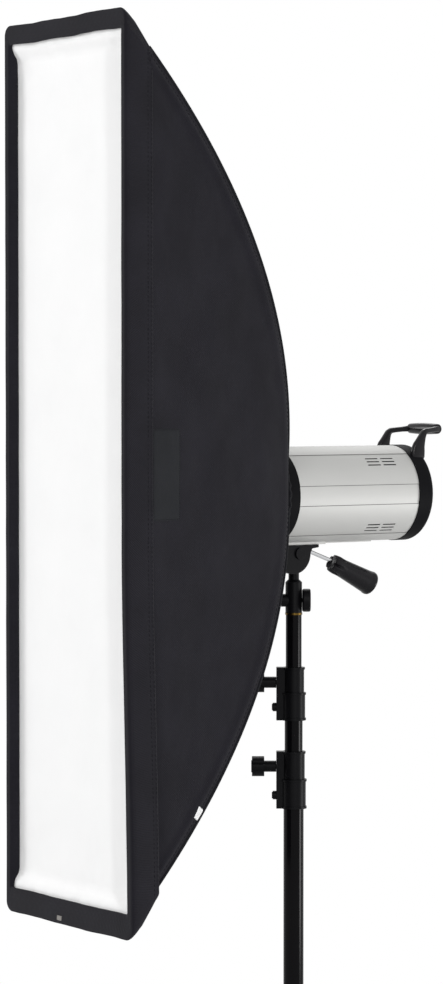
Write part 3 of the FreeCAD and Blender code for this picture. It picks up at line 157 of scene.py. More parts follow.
# ---------------------------------------------------------------- finishes
@dataclass(frozen=True)
class HardFinish:
    """Metal, plastic, rubber or glass: slow colour change, uneven gloss and fine grain."""

    name: str
    colour: str
    shade: str
    roughness: float
    spread: float = 0.06
    metallic: float = 0.0
    specular: float = 0.5
    ior: float = 1.5
    coat: float = 0.0
    clear: float = 0.0
    cloud_mm: float = 45.0
    grain_mm: float = 0.8
    depth_mm: float = 0.02
    grain: Grain = Grain.EVEN
    worn: str | None = None
    # Painted shade of a stepped case: angles in degrees of the dark lines at its band steps, their
    # half width and strength, and the radius in mm inside which it is painted dark, set out by
    # step_mm on the raised bands.
    lines: tuple[float, ...] = ()
    shade_line_width: float = 0.34
    shade_line_share: float = 0.6
    shaded_core_mm: float = 0.0
    step_mm: float = 0.7
    wear_mm: float = 0.7

    def build(self) -> Mat:
        """Make the material.

        Returns:
            The finished material.
        """
        mat, tree = new_material(self.name)
        shader = tree.nodes["Principled BSDF"]
        place = add(tree, "ShaderNodeTexCoord").outputs["Object"]
        along = add(tree, "ShaderNodeMapping", None, {"Vector": place, "Scale": self.grain.value})
        cloud = add(tree, "ShaderNodeTexNoise", None,
                    {"Vector": place, "Scale": 1000 / self.cloud_mm, "Detail": 3.0})
        fine = add(tree, "ShaderNodeTexNoise", None,
                   {"Vector": along.outputs[0], "Scale": 1000 / self.grain_mm, "Detail": 2.0})
        colour = blend(tree, cloud.outputs[0], linear(self.colour), linear(self.shade))
        if self.worn:
            colour = self.wear(tree, colour, cloud.outputs[0])
        if self.shaded_core_mm:
            colour = self.paint_case_shade(tree, colour, place)
        tree.links.new(colour, shader.inputs["Base Color"])
        gloss = add(tree, "ShaderNodeMapRange", None,
                    {0: fine.outputs[0], 3: max(self.roughness - self.spread, 0.02),
                     4: self.roughness + self.spread})
        tree.links.new(gloss.outputs[0], shader.inputs["Roughness"])
        bump = add(tree, "ShaderNodeBump", None,
                   {"Height": fine.outputs[0], "Distance": self.depth_mm * MM, "Strength": 1.0})
        tree.links.new(bump.outputs[0], shader.inputs["Normal"])
        shader.inputs["Metallic"].default_value = self.metallic
        if self.metallic < 1.0:
            shader.inputs["IOR"].default_value = self.ior
            shader.inputs["Specular IOR Level"].default_value = self.specular
        shader.inputs["Coat Weight"].default_value = self.coat
        shader.inputs["Coat Roughness"].default_value = 0.08
        shader.inputs["Transmission Weight"].default_value = self.clear
        return mat

    def paint_case_shade(self, tree: Tree, colour: Socket, place: Socket) -> Socket:
        """Paint shade on the case: dark inside its outer skin, on the walls of its vent slots, and
        in the corners of its stepped bands.

        Args:
            tree: Node tree of the material.
            colour: Colour of the skin.
            place: Object coordinates.

        Returns:
            Colour with the painted shade in the core and along the step lines.
        """
        low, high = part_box("body_shell")
        x, _, z = add(tree, "ShaderNodeSeparateXYZ", None, {0: place}).outputs
        rise = calc(tree, "SUBTRACT", z, (low.z + high.z) / 2)
        across = calc(tree, "ABSOLUTE", x)
        flat = add(tree, "ShaderNodeCombineXYZ", None, {0: across, 1: rise})
        radius = add(tree, "ShaderNodeVectorMath", {"operation": "LENGTH"}, {0: flat.outputs[0]})
        bent = calc(tree, "ABSOLUTE", calc(tree, "ARCTAN2", rise, across))
        outer = calc(tree, "GREATER_THAN", bent, math.radians(self.lines[0]))
        skin = calc(tree, "MULTIPLY_ADD", outer, self.step_mm * MM, self.shaded_core_mm * MM)
        painted_shade = calc(tree, "LESS_THAN", radius.outputs[1], skin)
        for line in self.lines:
            near = calc(tree, "COMPARE", bent, math.radians(line), math.radians(self.shade_line_width))
            painted_shade = calc(tree, "MAXIMUM", painted_shade, calc(tree, "MULTIPLY", near, self.shade_line_share))
        # Painted shade: near black inside the skin and along the band steps.
        return blend(tree, painted_shade, colour, linear("0C0C0D"))

    def wear(self, tree: Tree, colour: Socket, patchy: Socket) -> Socket:
        """Rub the colour through along convex edges.

        Args:
            tree: Node tree of the material.
            colour: Colour before the wear.
            patchy: Noise that breaks the wear up.

        Returns:
            Colour with the wear.
        """
        round_edge = add(tree, "ShaderNodeBevel", {"samples": 4}, {"Radius": self.wear_mm * MM})
        flat = add(tree, "ShaderNodeNewGeometry")
        same = add(tree, "ShaderNodeVectorMath", {"operation": "DOT_PRODUCT"},
                   {0: round_edge.outputs[0], 1: flat.outputs["Normal"]})
        edge = add(tree, "ShaderNodeMapRange", None, {0: same.outputs[1], 1: 0.995, 2: 0.93})
        mask = calc(tree, "MULTIPLY", edge.outputs[0], patchy)
        return blend(tree, mask, colour, linear(self.worn or self.colour))


@dataclass(frozen=True)
class Cloth:
    """Woven cloth: plain weave on the piece's own map, mottled tone and soft creases."""

    name: str
    colour: str
    shade: str
    thread_mm: float
    weave_mm: float = 0.10
    crease_mm: float = 0.6
    roughness: float = 0.85
    sheen: float = 0.2
    specular: float = 0.2

    def build(self) -> Mat:
        """Make the material.

        Returns:
            The finished material.
        """
        mat, tree = new_material(self.name)
        shader = tree.nodes["Principled BSDF"]
        flat = add(tree, "ShaderNodeUVMap", {"uv_map": "cut"}).outputs[0]
        place = add(tree, "ShaderNodeTexCoord").outputs["Object"]
        axes = add(tree, "ShaderNodeSeparateXYZ", None, {0: flat}).outputs
        turns = math.pi * 1000 / self.thread_mm
        warp, weft = [calc(tree, "SINE", calc(tree, "MULTIPLY", axes[k], turns)) for k in (0, 1)]
        weave = calc(tree, "MULTIPLY", warp, weft)
        mottle = add(tree, "ShaderNodeTexNoise", None,
                     {"Vector": place, "Scale": 14.0, "Detail": 4.0})
        slub = add(tree, "ShaderNodeMapping", None, {"Vector": flat, "Scale": (900.0, 40.0, 1.0)})
        yarn = add(tree, "ShaderNodeTexNoise", None, {"Vector": slub.outputs[0], "Scale": 1.0})
        both = calc(tree, "MULTIPLY_ADD", yarn.outputs[0], 0.35, mottle.outputs[0])
        share = add(tree, "ShaderNodeMapRange", None, {0: both, 1: 0.45, 2: 0.95})
        tint = blend(tree, share.outputs[0], linear(self.colour), linear(self.shade))
        tree.links.new(tint, shader.inputs["Base Color"])
        soft = add(tree, "ShaderNodeTexNoise", None,
                   {"Vector": place, "Scale": 11.0, "Detail": 2.0})
        creases = add(tree, "ShaderNodeBump", None,
                      {"Height": soft.outputs[0], "Distance": self.crease_mm * MM})
        threads = add(tree, "ShaderNodeBump", None,
                      {"Height": weave, "Distance": self.weave_mm * MM,
                       "Normal": creases.outputs[0]})
        tree.links.new(threads.outputs[0], shader.inputs["Normal"])
        shader.inputs["Roughness"].default_value = self.roughness
        shader.inputs["Specular IOR Level"].default_value = self.specular
        shader.inputs["Sheen Weight"].default_value = self.sheen
        shader.inputs["Sheen Roughness"].default_value = 0.6
        return mat


# Nylon taffeta with a coated back: near black, faintly blue, a little shine at grazing angles.
# Its threads are 0.2 mm apart; they are drawn at 1.6 mm so that a weave shows at all.
BLACK_NYLON = Cloth("black_nylon_taffeta", "18171C", "1F1E24", 1.6, sheen=0.06, specular=0.05)
# The same nylon folded double and bound, with painted shade: a little darker, since it takes no
# stray light.
SHADED_BLACK_BINDING = Cloth("black_nylon_binding", "17171A", "1C1C20", 1.2, sheen=0.05, specular=0.05)
# Translucent white polyester that spreads the flash: bright, matt, very fine.
WHITE_DIFFUSER = Cloth("white_diffusion_polyester", "FCFCFC", "F8F8F8", 1.4, 0.05, 0.8, sheen=0.1)
# Woven satin label cloth, charcoal, left blank.
LABEL_SATIN = Cloth("charcoal_label_satin", "202124", "252629", 0.9, sheen=0.04, roughness=0.7,
                    specular=0.04)
# Printed care tag, white coated cotton, left blank.
WHITE_TAG = Cloth("white_cotton_tag", "F2F2F2", "E6E6E6", 0.9)
# Small grey size tag in the hem, left blank.
GREY_TAG = Cloth("grey_cotton_tag", "8E8A86", "77746F", 0.9)
# Twisted polyester thread, black with a soft shine.
THREAD = HardFinish("black_sewing_thread", "19181D", "201F24", 0.7, specular=0.04, grain_mm=0.4)

# Anodised aluminium case: satin silver, fine drawn lines along its length, with painted shade along
# the steps of its bands (degrees from the level) and inside its skin, where the vent slots are.
SILVER = HardFinish("satin_anodised_aluminium", "C0C0BE", "B8B8B6", 0.55, 0.05, 0.35, specular=0.06,
                    grain_mm=0.5, depth_mm=0.004, grain=Grain.ALONG_Y, cloud_mm=120,
                    lines=(12.0, 56.5), shaded_core_mm=65.0)
# Moulded ABS, polished: handle and switch, deep black with a clear shine.
GLOSS_BLACK = HardFinish("polished_black_abs", "121113", "171619", 0.22, 0.05, specular=0.14,
                         grain_mm=1.4, depth_mm=0.008, coat=0.06)
# Moulded nylon with a spark-eroded texture: knobs and tube collars.
NYLON_BLACK = HardFinish("moulded_black_nylon", "0A0A0C", "0F0F11", 0.36, 0.08, specular=0.07,
                         grain_mm=0.9, depth_mm=0.03)
# Coarser texture of the front collar, rear cap, ring lock and fan, and of the black sleeve that
# stands for the shade inside the case behind its vents.
MATT_BLACK = HardFinish("textured_black_nylon", "0D0D0F", "121214", 0.55, 0.08, specular=0.04,
                        grain_mm=1.1, depth_mm=0.05)
# Lever grip: the same nylon, worn smooth by the hand.
LEVER_BLACK = HardFinish("smooth_black_nylon", "100F12", "151417", 0.28, 0.06, specular=0.16,
                         grain_mm=1.4, depth_mm=0.015)
# Powder-coated die casting: the adapter and bracket, slightly pebbled, rubbed at its edges.
CAST_BLACK = HardFinish("powder_coated_casting", "0B0B0D", "101012", 0.38, 0.08, specular=0.07,
                        grain_mm=1.6, depth_mm=0.06, worn="333335")
# Black anodised aluminium tube: narrow bright lines where lamps meet its curve.
TUBE_BLACK = HardFinish("black_anodised_tube", "060507", "09080A", 0.16, 0.03, specular=0.07,
                        grain_mm=0.7, depth_mm=0.001, grain=Grain.ALONG_Z)
# Black panel lacquer behind the controls.
PANEL_BLACK = HardFinish("matt_black_panel", "161618", "1B1B1E", 0.6, 0.06, specular=0.12,
                         grain_mm=0.6, depth_mm=0.03)
# Solid rubber of the feet.
RUBBER = HardFinish("black_rubber", "161616", "1D1D1C", 0.8, 0.08, specular=0.1,
                    grain_mm=1.5, depth_mm=0.08)
# Zinc-plated steel screws and pins.
STEEL = HardFinish("zinc_plated_steel", "A9AAAA", "989A9B", 0.32, 0.08, 1.0, grain_mm=0.7,
                   depth_mm=0.008, cloud_mm=12)
# Chromed lever rod.
CHROME = HardFinish("chromed_steel", "D2D3D5", "C6C7C9", 0.10, 0.03, 1.0, grain_mm=2.0,
                    depth_mm=0.002, cloud_mm=20)
# Turned brass stud.
BRASS = HardFinish("turned_brass", "5E4A22", "4A3A1A", 0.3, 0.06, 1.0, grain_mm=0.5,
                   depth_mm=0.006, cloud_mm=10)
# White stove enamel of the reflector plate.
WHITE_METAL = HardFinish("white_stove_enamel", "EDEDEA", "E2E2DE", 0.4, 0.05, grain_mm=1.5)
# Borosilicate dome and quartz tube.
GLASS = HardFinish("clear_borosilicate", "FFFFFF", "F6F8F8", 0.04, 0.02, ior=1.47, clear=0.95,
                   grain_mm=20, depth_mm=0.002)
FROSTED = HardFinish("frosted_lamp_glass", "F4F4F0", "E9E9E4", 0.5, 0.06, ior=1.5, clear=0.4,
                     grain_mm=0.7)
# Grey dial plastic, red button plastic, PVC sleeve and circuit board.
DIAL_GREY = HardFinish("grey_moulded_dial", "6D6E70", "626365", 0.45, 0.06, grain_mm=0.8)
BUTTON_RED = HardFinish("red_moulded_button", "B3261E", "A01F18", 0.35, 0.05, grain_mm=0.8)
SLEEVE_BLUE = HardFinish("pvc_capacitor_sleeve", "1E2C44", "24334D", 0.3, 0.05, grain_mm=2.0)
BOARD_GREEN = HardFinish("green_solder_mask", "1F5A37", "1A4D2F", 0.35, 0.06, grain_mm=1.0)
# Pad-printed dial marks.
WHITE_PRINT = HardFinish("white_pad_print", "D9D9D6", "C9C9C6", 0.5, 0.05, grain_mm=0.5)

NODE_FINISHES: dict[HardFinish, tuple[str, ...]] = {
    TUBE_BLACK: ("column_tube", "mid_tube", "top_tube", "leg_1", "leg_2", "leg_3"),
    NYLON_BLACK: ("lower_collar", "upper_collar", "leg_collar", "brace_collar", "lower_knob",
                  "upper_knob", "leg_collar_knob", "clamp_knob", "upper_collar_bolt",
                  "base_fasteners"),
    CAST_BLACK: ("adapter", "tilt_bracket", "pivot_bolt", "brace_1", "brace_2", "brace_3"),
    MATT_BLACK: ("rear_cap", "front_bezel", "ring_lock", "fan_rotor", "fan_frame"),
    GLOSS_BLACK: ("handle", "rocker_switch"),
    PANEL_BLACK: ("rear_panel", "rear_sockets"),
    RUBBER: ("column_foot", "foot_1", "foot_2", "foot_3"),
    STEEL: ("leg_hinge_pins", "spring_rods", "speed_ring", "chassis_plate"),
    CHROME: ("lever_rod",),
    BRASS: ("spigot",),
    SILVER: ("body_shell", "mount_rail"),
    WHITE_METAL: ("reflector_plate",),
    GLASS: ("glass_cover", "flash_tube"),
    FROSTED: ("modelling_lamp",),
    DIAL_GREY: ("power_dial", "lamp_dial"),
    BUTTON_RED: ("test_button",),
    SLEEVE_BLUE: ("capacitors",),
    BOARD_GREEN: ("circuit_board",),
}


class Materials:
    """Materials made once and handed out by finish."""

    def __init__(self) -> None:
        """Start with none."""
        self.made: dict[str, Mat] = {}

    def get(self, finish: HardFinish | Cloth) -> Mat:
        """Return the material of a finish, made on first use."""
        if finish.name not in self.made:
            self.made[finish.name] = finish.build()
        return self.made[finish.name]


MATERIALS = Materials()


# ---------------------------------------------------------------- mesh tools
def smooth_step(value: float, low: float, high: float) -> float:
    """Ease from 0 at low to 1 at high."""
    share = min(max((value - low) / (high - low), 0.0), 1.0)
    return share * share * (3 - 2 * share)


def shade(obj: Obj, angle: float = 40.0) -> None:
    """Shade smooth and keep edges sharper than the angle crisp.

    Args:
        obj: Mesh object.
        angle: Limit in degrees.
    """
    mesh = obj.data
    bm = bmesh.new()
    bm.from_mesh(mesh)
    limit = math.radians(angle)
    for face in bm.faces:
        face.smooth = True
    for edge in bm.edges:
        edge.smooth = len(edge.link_faces) != 2 or edge.calc_face_angle(0.0) < limit
    bm.to_mesh(mesh)
    bm.free()


def new_object(name: str, data: bpy.types.ID) -> Obj:
    """Make an object of its data and link it to the scene."""
    obj = bpy.data.objects.new(name, data)
    bpy.context.scene.collection.objects.link(obj)
    return obj


def piece(name: str, verts: list, faces: list, finish: HardFinish | Cloth,
          cut: list | None = None) -> Obj:
    """Make a mesh object with its place in its mesh.

    Args:
        name: Name of the piece.
        verts: Points in metres.
        faces: Corner numbers.
        finish: Finish of the whole piece.
        cut: Flat place of each point in metres, for cloth.

    Returns:
        The new object.
    """
    mesh = bpy.data.meshes.new(name)
    mesh.from_pydata([tuple(v) for v in verts], [], faces)
    if cut:
        layer = mesh.uv_layers.new(name="cut")
        for loop in mesh.loops:
            layer.data[loop.index].uv = cut[loop.vertex_index]
    mesh.materials.append(MATERIALS.get(finish))
    return new_object(name, mesh)


def tidy(obj: Obj, outward: Callable[[Vector], Vector], drop: Callable | None = None) -> None:
    """Merge doubles, drop unwanted points and turn an open sheet's faces outwards.

    Args:
        obj: Sheet to clean.
        outward: Direction out of the object at a point.
        drop: True for a point that is removed.
    """
    bm = bmesh.new()
    bm.from_mesh(obj.data)
    if drop:
        bmesh.ops.delete(bm, geom=[v for v in bm.verts if drop(v.co)], context="VERTS")
    bmesh.ops.remove_doubles(bm, verts=bm.verts, dist=0.02 * MM)
    bmesh.ops.dissolve_degenerate(bm, edges=bm.edges, dist=0.01 * MM)
    bmesh.ops.recalc_face_normals(bm, faces=bm.faces)
    vote = sum(f.normal.dot(outward(f.calc_center_median())) * f.calc_area() for f in bm.faces)
    if vote < 0:
        bmesh.ops.reverse_faces(bm, faces=bm.faces)
    bm.to_mesh(obj.data)
    bm.free()


def close_sheet(obj: Obj, outward: Callable[[Vector], Vector], thickness: float,
                angle: float = 40.0, drop: Callable | None = None) -> None:
    """Clean a sheet, give it its thickness on the inner side and shade it.

    Args:
        obj: Open sheet.
        outward: Direction out of the object at a point.
        thickness: Cloth thickness in metres.
        angle: Edges sharper than this stay crisp, in degrees.
        drop: True for a point that is removed.
    """
    tidy(obj, outward, drop)
    wall = obj.modifiers.new("wall", "SOLIDIFY")
    wall.thickness = thickness
    wall.offset = -1.0
    keep(obj)
    shade(obj, angle)


def face_out(obj: Obj, merge: float = 0.0) -> None:
    """Turn a closed piece's faces outwards.

    Args:
        obj: Closed piece.
        merge: Points nearer than this become one.
    """
    bm = bmesh.new()
    bm.from_mesh(obj.data)
    if merge:
        bmesh.ops.remove_doubles(bm, verts=bm.verts, dist=merge)
    bmesh.ops.recalc_face_normals(bm, faces=bm.faces)
    bm.to_mesh(obj.data)
    bm.free()


def declare(obj: Obj, body: str, node: str = "") -> Obj:
    """Hang a piece on the empty of the body that carries it, and hide the CAD node it stands in
    for.

    Args:
        obj: The piece.
        body: Body that carries it.
        node: CAD node that it stands in for, if any.

    Returns:
        The same piece.
    """
    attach(obj, body)
    if node:
        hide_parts(node)
    return obj


def keep(obj: Obj) -> Obj:
    """Turn an object's modifiers into its mesh.

    Args:
        obj: Object with modifiers.

    Returns:
        The same object, without modifiers.
    """
    graph = bpy.context.evaluated_depsgraph_get()
    graph.update()
    mesh = bpy.data.meshes.new_from_object(obj.evaluated_get(graph), depsgraph=graph)
    obj.modifiers.clear()
    obj.data = mesh
    return obj


def strip_faces(rows: int, count: int, first: int = 0) -> list[tuple[int, ...]]:
    """Faces between closed rows of points that follow one another.

    Args:
        rows: Number of rows.
        count: Points in each row.
        first: Number of the first point.

    Returns:
        Corner numbers.
    """
    faces = []
    for a in range(first, first + (rows - 1) * count, count):
        for k in range(count):
            n = (k + 1) % count
            faces.append((a + k, a + n, a + count + n, a + count + k))
    return faces


def ring_faces(around: int, count: int) -> list[tuple[int, ...]]:
    """Faces of a closed hoop of closed sections.

    Args:
        around: Number of sections.
        count: Points in each section.

    Returns:
        Corner numbers.
    """
    faces = []
    for i in range(around):
        a, b = i * count, (i + 1) % around * count
        for k in range(count):
            n = (k + 1) % count
            faces.append((a + k, b + k, b + n, a + n))
    return faces


def sheet_grid(name: str, rows: int, cols: int, place: Callable, finish: Cloth) -> Obj:
    """Make a sheet from a grid of places.

    Args:
        name: Name of the piece.
        rows: Steps along the first way.
        cols: Steps along the second.
        place: Gives the point and its flat place for two shares from 0 to 1.
        finish: Cloth of the sheet.

    Returns:
        The sheet, still open and thin.
    """
    verts, cut, faces = [], [], []
    for i in range(rows + 1):
        for j in range(cols + 1):
            point, flat = place(i / rows, j / cols)
            verts.append(point)
            cut.append(flat)
    for i in range(rows):
        for j in range(cols):
            a = i * (cols + 1) + j
            faces.append((a, a + 1, a + cols + 2, a + cols + 1))
    return piece(name, verts, faces, finish, cut)


def lathe(name: str, centre: Vector, axis: Vector, profile: list[tuple[float, float]],
          finish: HardFinish, steps: int = 48, lobes: Callable | None = None) -> Obj:
    """Turn a closed profile about an axis.

    Args:
        name: Name of the piece.
        centre: Point on the axis where the profile's distance is 0.
        axis: Direction of the axis.
        profile: Distance along the axis and radius, from pole to pole, in metres.
        finish: Finish of the piece.
        steps: Corners round the axis.
        lobes: Change of radius for distance, radius and angle.

    Returns:
        The turned piece, closed.
    """
    axis = axis.normalized()
    side = axis.orthogonal().normalized()
    up = axis.cross(side)
    verts = []
    for along, radius in profile:
        for k in range(steps):
            angle = 2 * math.pi * k / steps
            r = radius + (lobes(along, radius, angle) if lobes else 0.0)
            out = side * math.cos(angle) + up * math.sin(angle)
            verts.append(centre + axis * along + out * r)
    faces = strip_faces(len(profile), steps)
    faces.append(tuple(range(steps - 1, -1, -1)))
    faces.append(tuple(range((len(profile) - 1) * steps, len(profile) * steps)))
    obj = piece(name, verts, faces, finish)
    face_out(obj, 0.01 * MM)
    shade(obj)
    return obj


def tube(name: str, centre: Vector, ring: list[tuple[float, float]], finish: HardFinish,
         steps: int = 96) -> Obj:
    """Turn a closed ring profile about the y direction.

    Args:
        name: Name of the piece.
        centre: Point on the axis.
        ring: Distance along y and radius, round the wall, with the first place again at the end.
        finish: Finish of the piece.
        steps: Corners round the axis.

    Returns:
        The tube, closed.
    """
    verts = []
    for k in range(steps):
        angle = 2 * math.pi * k / steps
        for along, radius in ring[:-1]:
            verts.append(Vector((centre.x + radius * math.cos(angle), along,
                                 centre.z + radius * math.sin(angle))))
    obj = piece(name, verts, ring_faces(steps, len(ring) - 1), finish)
    face_out(obj)
    shade(obj)
    return obj


# ---------------------------------------------------------------- what repeats
# Spacing and length of the stitches, and the radius of their thread.
SEAM_STITCH = {"Spacing": 6 * MM, "Length": 4.2 * MM, "Radius": 0.45 * MM}
BAND_STITCH = {"Spacing": 6 * MM, "Length": 4.2 * MM, "Radius": 0.3 * MM}
LABEL_STITCH = {"Spacing": 3 * MM, "Length": 2.1 * MM, "Radius": 0.3 * MM}


class Growth:
    """Node trees that grow stitches and welts along lines, and set screws on points."""

    def __init__(self) -> None:
        """Build the trees."""
        self.stitch = self.stitch_tree()
        self.welt = self.welt_tree()
        self.studs = self.stud_tree()

    @staticmethod
    def new_tree(name: str, sizes: dict[str, float], extra: dict[str, str]) -> Tree:
        """Start a tree with its inputs and outputs.

        Args:
            name: Name of the tree.
            sizes: Named sizes with their usual values.
            extra: Other named inputs with their socket types.

        Returns:
            The tree, with a Group Input and a Group Output node.
        """
        tree = bpy.data.node_groups.new(name, "GeometryNodeTree")
        face = tree.interface
        face.new_socket("Geometry", in_out="OUTPUT", socket_type="NodeSocketGeometry")
        face.new_socket("Geometry", in_out="INPUT", socket_type="NodeSocketGeometry")
        for key, value in sizes.items():
            size = face.new_socket(key, in_out="INPUT", socket_type="NodeSocketFloat")
            size.default_value = value
        for key, kind in extra.items():
            face.new_socket(key, in_out="INPUT", socket_type=kind)
        add(tree, "NodeGroupInput")
        add(tree, "NodeGroupOutput")
        return tree

    @staticmethod
    def close_tree(tree: Tree, geometry: Socket) -> Tree:
        """End a tree in real geometry with its material.

        Args:
            tree: Tree to end.
            geometry: What it has grown.

        Returns:
            The same tree.
        """
        start = tree.nodes["Group Input"]
        real = add(tree, "GeometryNodeRealizeInstances", None, {0: geometry})
        soft = add(tree, "GeometryNodeSetShadeSmooth", None, {0: real.outputs[0]})
        dressed = add(tree, "GeometryNodeSetMaterial", None,
                      {0: soft.outputs[0], "Material": start.outputs["Material"]})
        tree.links.new(dressed.outputs[0], tree.nodes["Group Output"].inputs[0])
        return tree

    def stitch_tree(self) -> Tree:
        """Build the tree that lays stitches along a line.

        Returns:
            Tree with Spacing, Length and Radius.
        """
        tree = self.new_tree("sewn_stitches", SEAM_STITCH, {"Material": "NodeSocketMaterial"})
        start = tree.nodes["Group Input"]
        line = add(tree, "GeometryNodeMeshToCurve", None, {0: start.outputs["Geometry"]})
        spots = add(tree, "GeometryNodeCurveToPoints", {"mode": "LENGTH"},
                    {0: line.outputs[0], "Length": start.outputs["Spacing"]})
        grain = add(tree, "GeometryNodeMeshUVSphere", None,
                    {"Segments": 6, "Rings": 4, "Radius": 1.0})
        half = calc(tree, "MULTIPLY", start.outputs["Length"], 0.5)
        size = add(tree, "ShaderNodeCombineXYZ", None,
                   {0: start.outputs["Radius"], 1: start.outputs["Radius"], 2: half})
        shaped = add(tree, "GeometryNodeTransform", None,
                     {0: grain.outputs[0], "Scale": size.outputs[0]})
        turn = add(tree, "FunctionNodeAlignRotationToVector", {"axis": "Z"},
                   {"Vector": spots.outputs["Tangent"]})
        slack = add(tree, "FunctionNodeRandomValue", {"data_type": "FLOAT"},
                    {2: 0.85, 3: 1.1, "Seed": 7})
        laid = add(tree, "GeometryNodeInstanceOnPoints", None,
                   {0: spots.outputs["Points"], "Instance": shaped.outputs[0],
                    "Rotation": turn.outputs[0], "Scale": slack.outputs[1]})
        return self.close_tree(tree, laid.outputs[0])

    def welt_tree(self) -> Tree:
        """Build the tree that rolls a welt round a line.

        Returns:
            Tree with Radius.
        """
        tree = self.new_tree("rolled_welt", {"Radius": 0.002}, {"Material": "NodeSocketMaterial"})
        start = tree.nodes["Group Input"]
        line = add(tree, "GeometryNodeMeshToCurve", None, {0: start.outputs["Geometry"]})
        ring = add(tree, "GeometryNodeCurvePrimitiveCircle", None,
                   {"Resolution": 10, "Radius": start.outputs["Radius"]})
        roll = add(tree, "GeometryNodeCurveToMesh", None,
                   {0: line.outputs[0], 1: ring.outputs[0], "Fill Caps": True})
        return self.close_tree(tree, roll.outputs[0])

    def stud_tree(self) -> Tree:
        """Build the tree that sets one small part on each point.

        Returns:
            Tree with Part.
        """
        tree = self.new_tree("parts_on_points", {},
                             {"Part": "NodeSocketObject", "Material": "NodeSocketMaterial"})
        start = tree.nodes["Group Input"]
        part = add(tree, "GeometryNodeObjectInfo", None, {"Object": start.outputs["Part"]})
        laid = add(tree, "GeometryNodeInstanceOnPoints", None,
                   {0: start.outputs["Geometry"], "Instance": part.outputs["Geometry"]})
        return self.close_tree(tree, laid.outputs[0])

    def grow(self, name: str, tree: Tree, lines: list[list[Vector]], closed: bool,
             finish: HardFinish | Cloth, values: dict) -> Obj:
        """Run a tree on lines or points and keep its mesh.

        Args:
            name: Name of the piece.
            tree: Tree to run.
            lines: Point lists.
            closed: Whether each line returns to its start.
            finish: Finish of what grows.
            values: Input name to value.

        Returns:
            The grown piece.
        """
        verts, edges = [], []
        for line in lines:
            first = len(verts)
            verts += [tuple(p) for p in line]
            last = len(verts) - 1
            edges += [(i, i + 1) for i in range(first, last)]
            if closed and len(line) > 2:
                edges.append((last, first))
        return self.run(name, tree, verts, edges, finish, values)

    def run(self, name: str, tree: Tree, verts: list, edges: list, finish: HardFinish | Cloth,
            values: dict) -> Obj:
        """Run a tree on bare points and edges.

        Args:
            name: Name of the piece.
            tree: Tree to run.
            verts: Points.
            edges: Pairs of points.
            finish: Finish of what grows.
            values: Input name to value.

        Returns:
            The grown piece.
        """
        mesh = bpy.data.meshes.new(name)
        mesh.from_pydata(verts, edges, [])
        obj = new_object(name, mesh)
        grown = obj.modifiers.new("growth", "NODES")
        grown.node_group = tree
        wanted = dict(values, Material=MATERIALS.get(finish))
        for item in tree.interface.items_tree:
            if item.in_out == "INPUT" and item.name in wanted:
                grown[item.identifier] = wanted[item.name]
        return keep(obj)


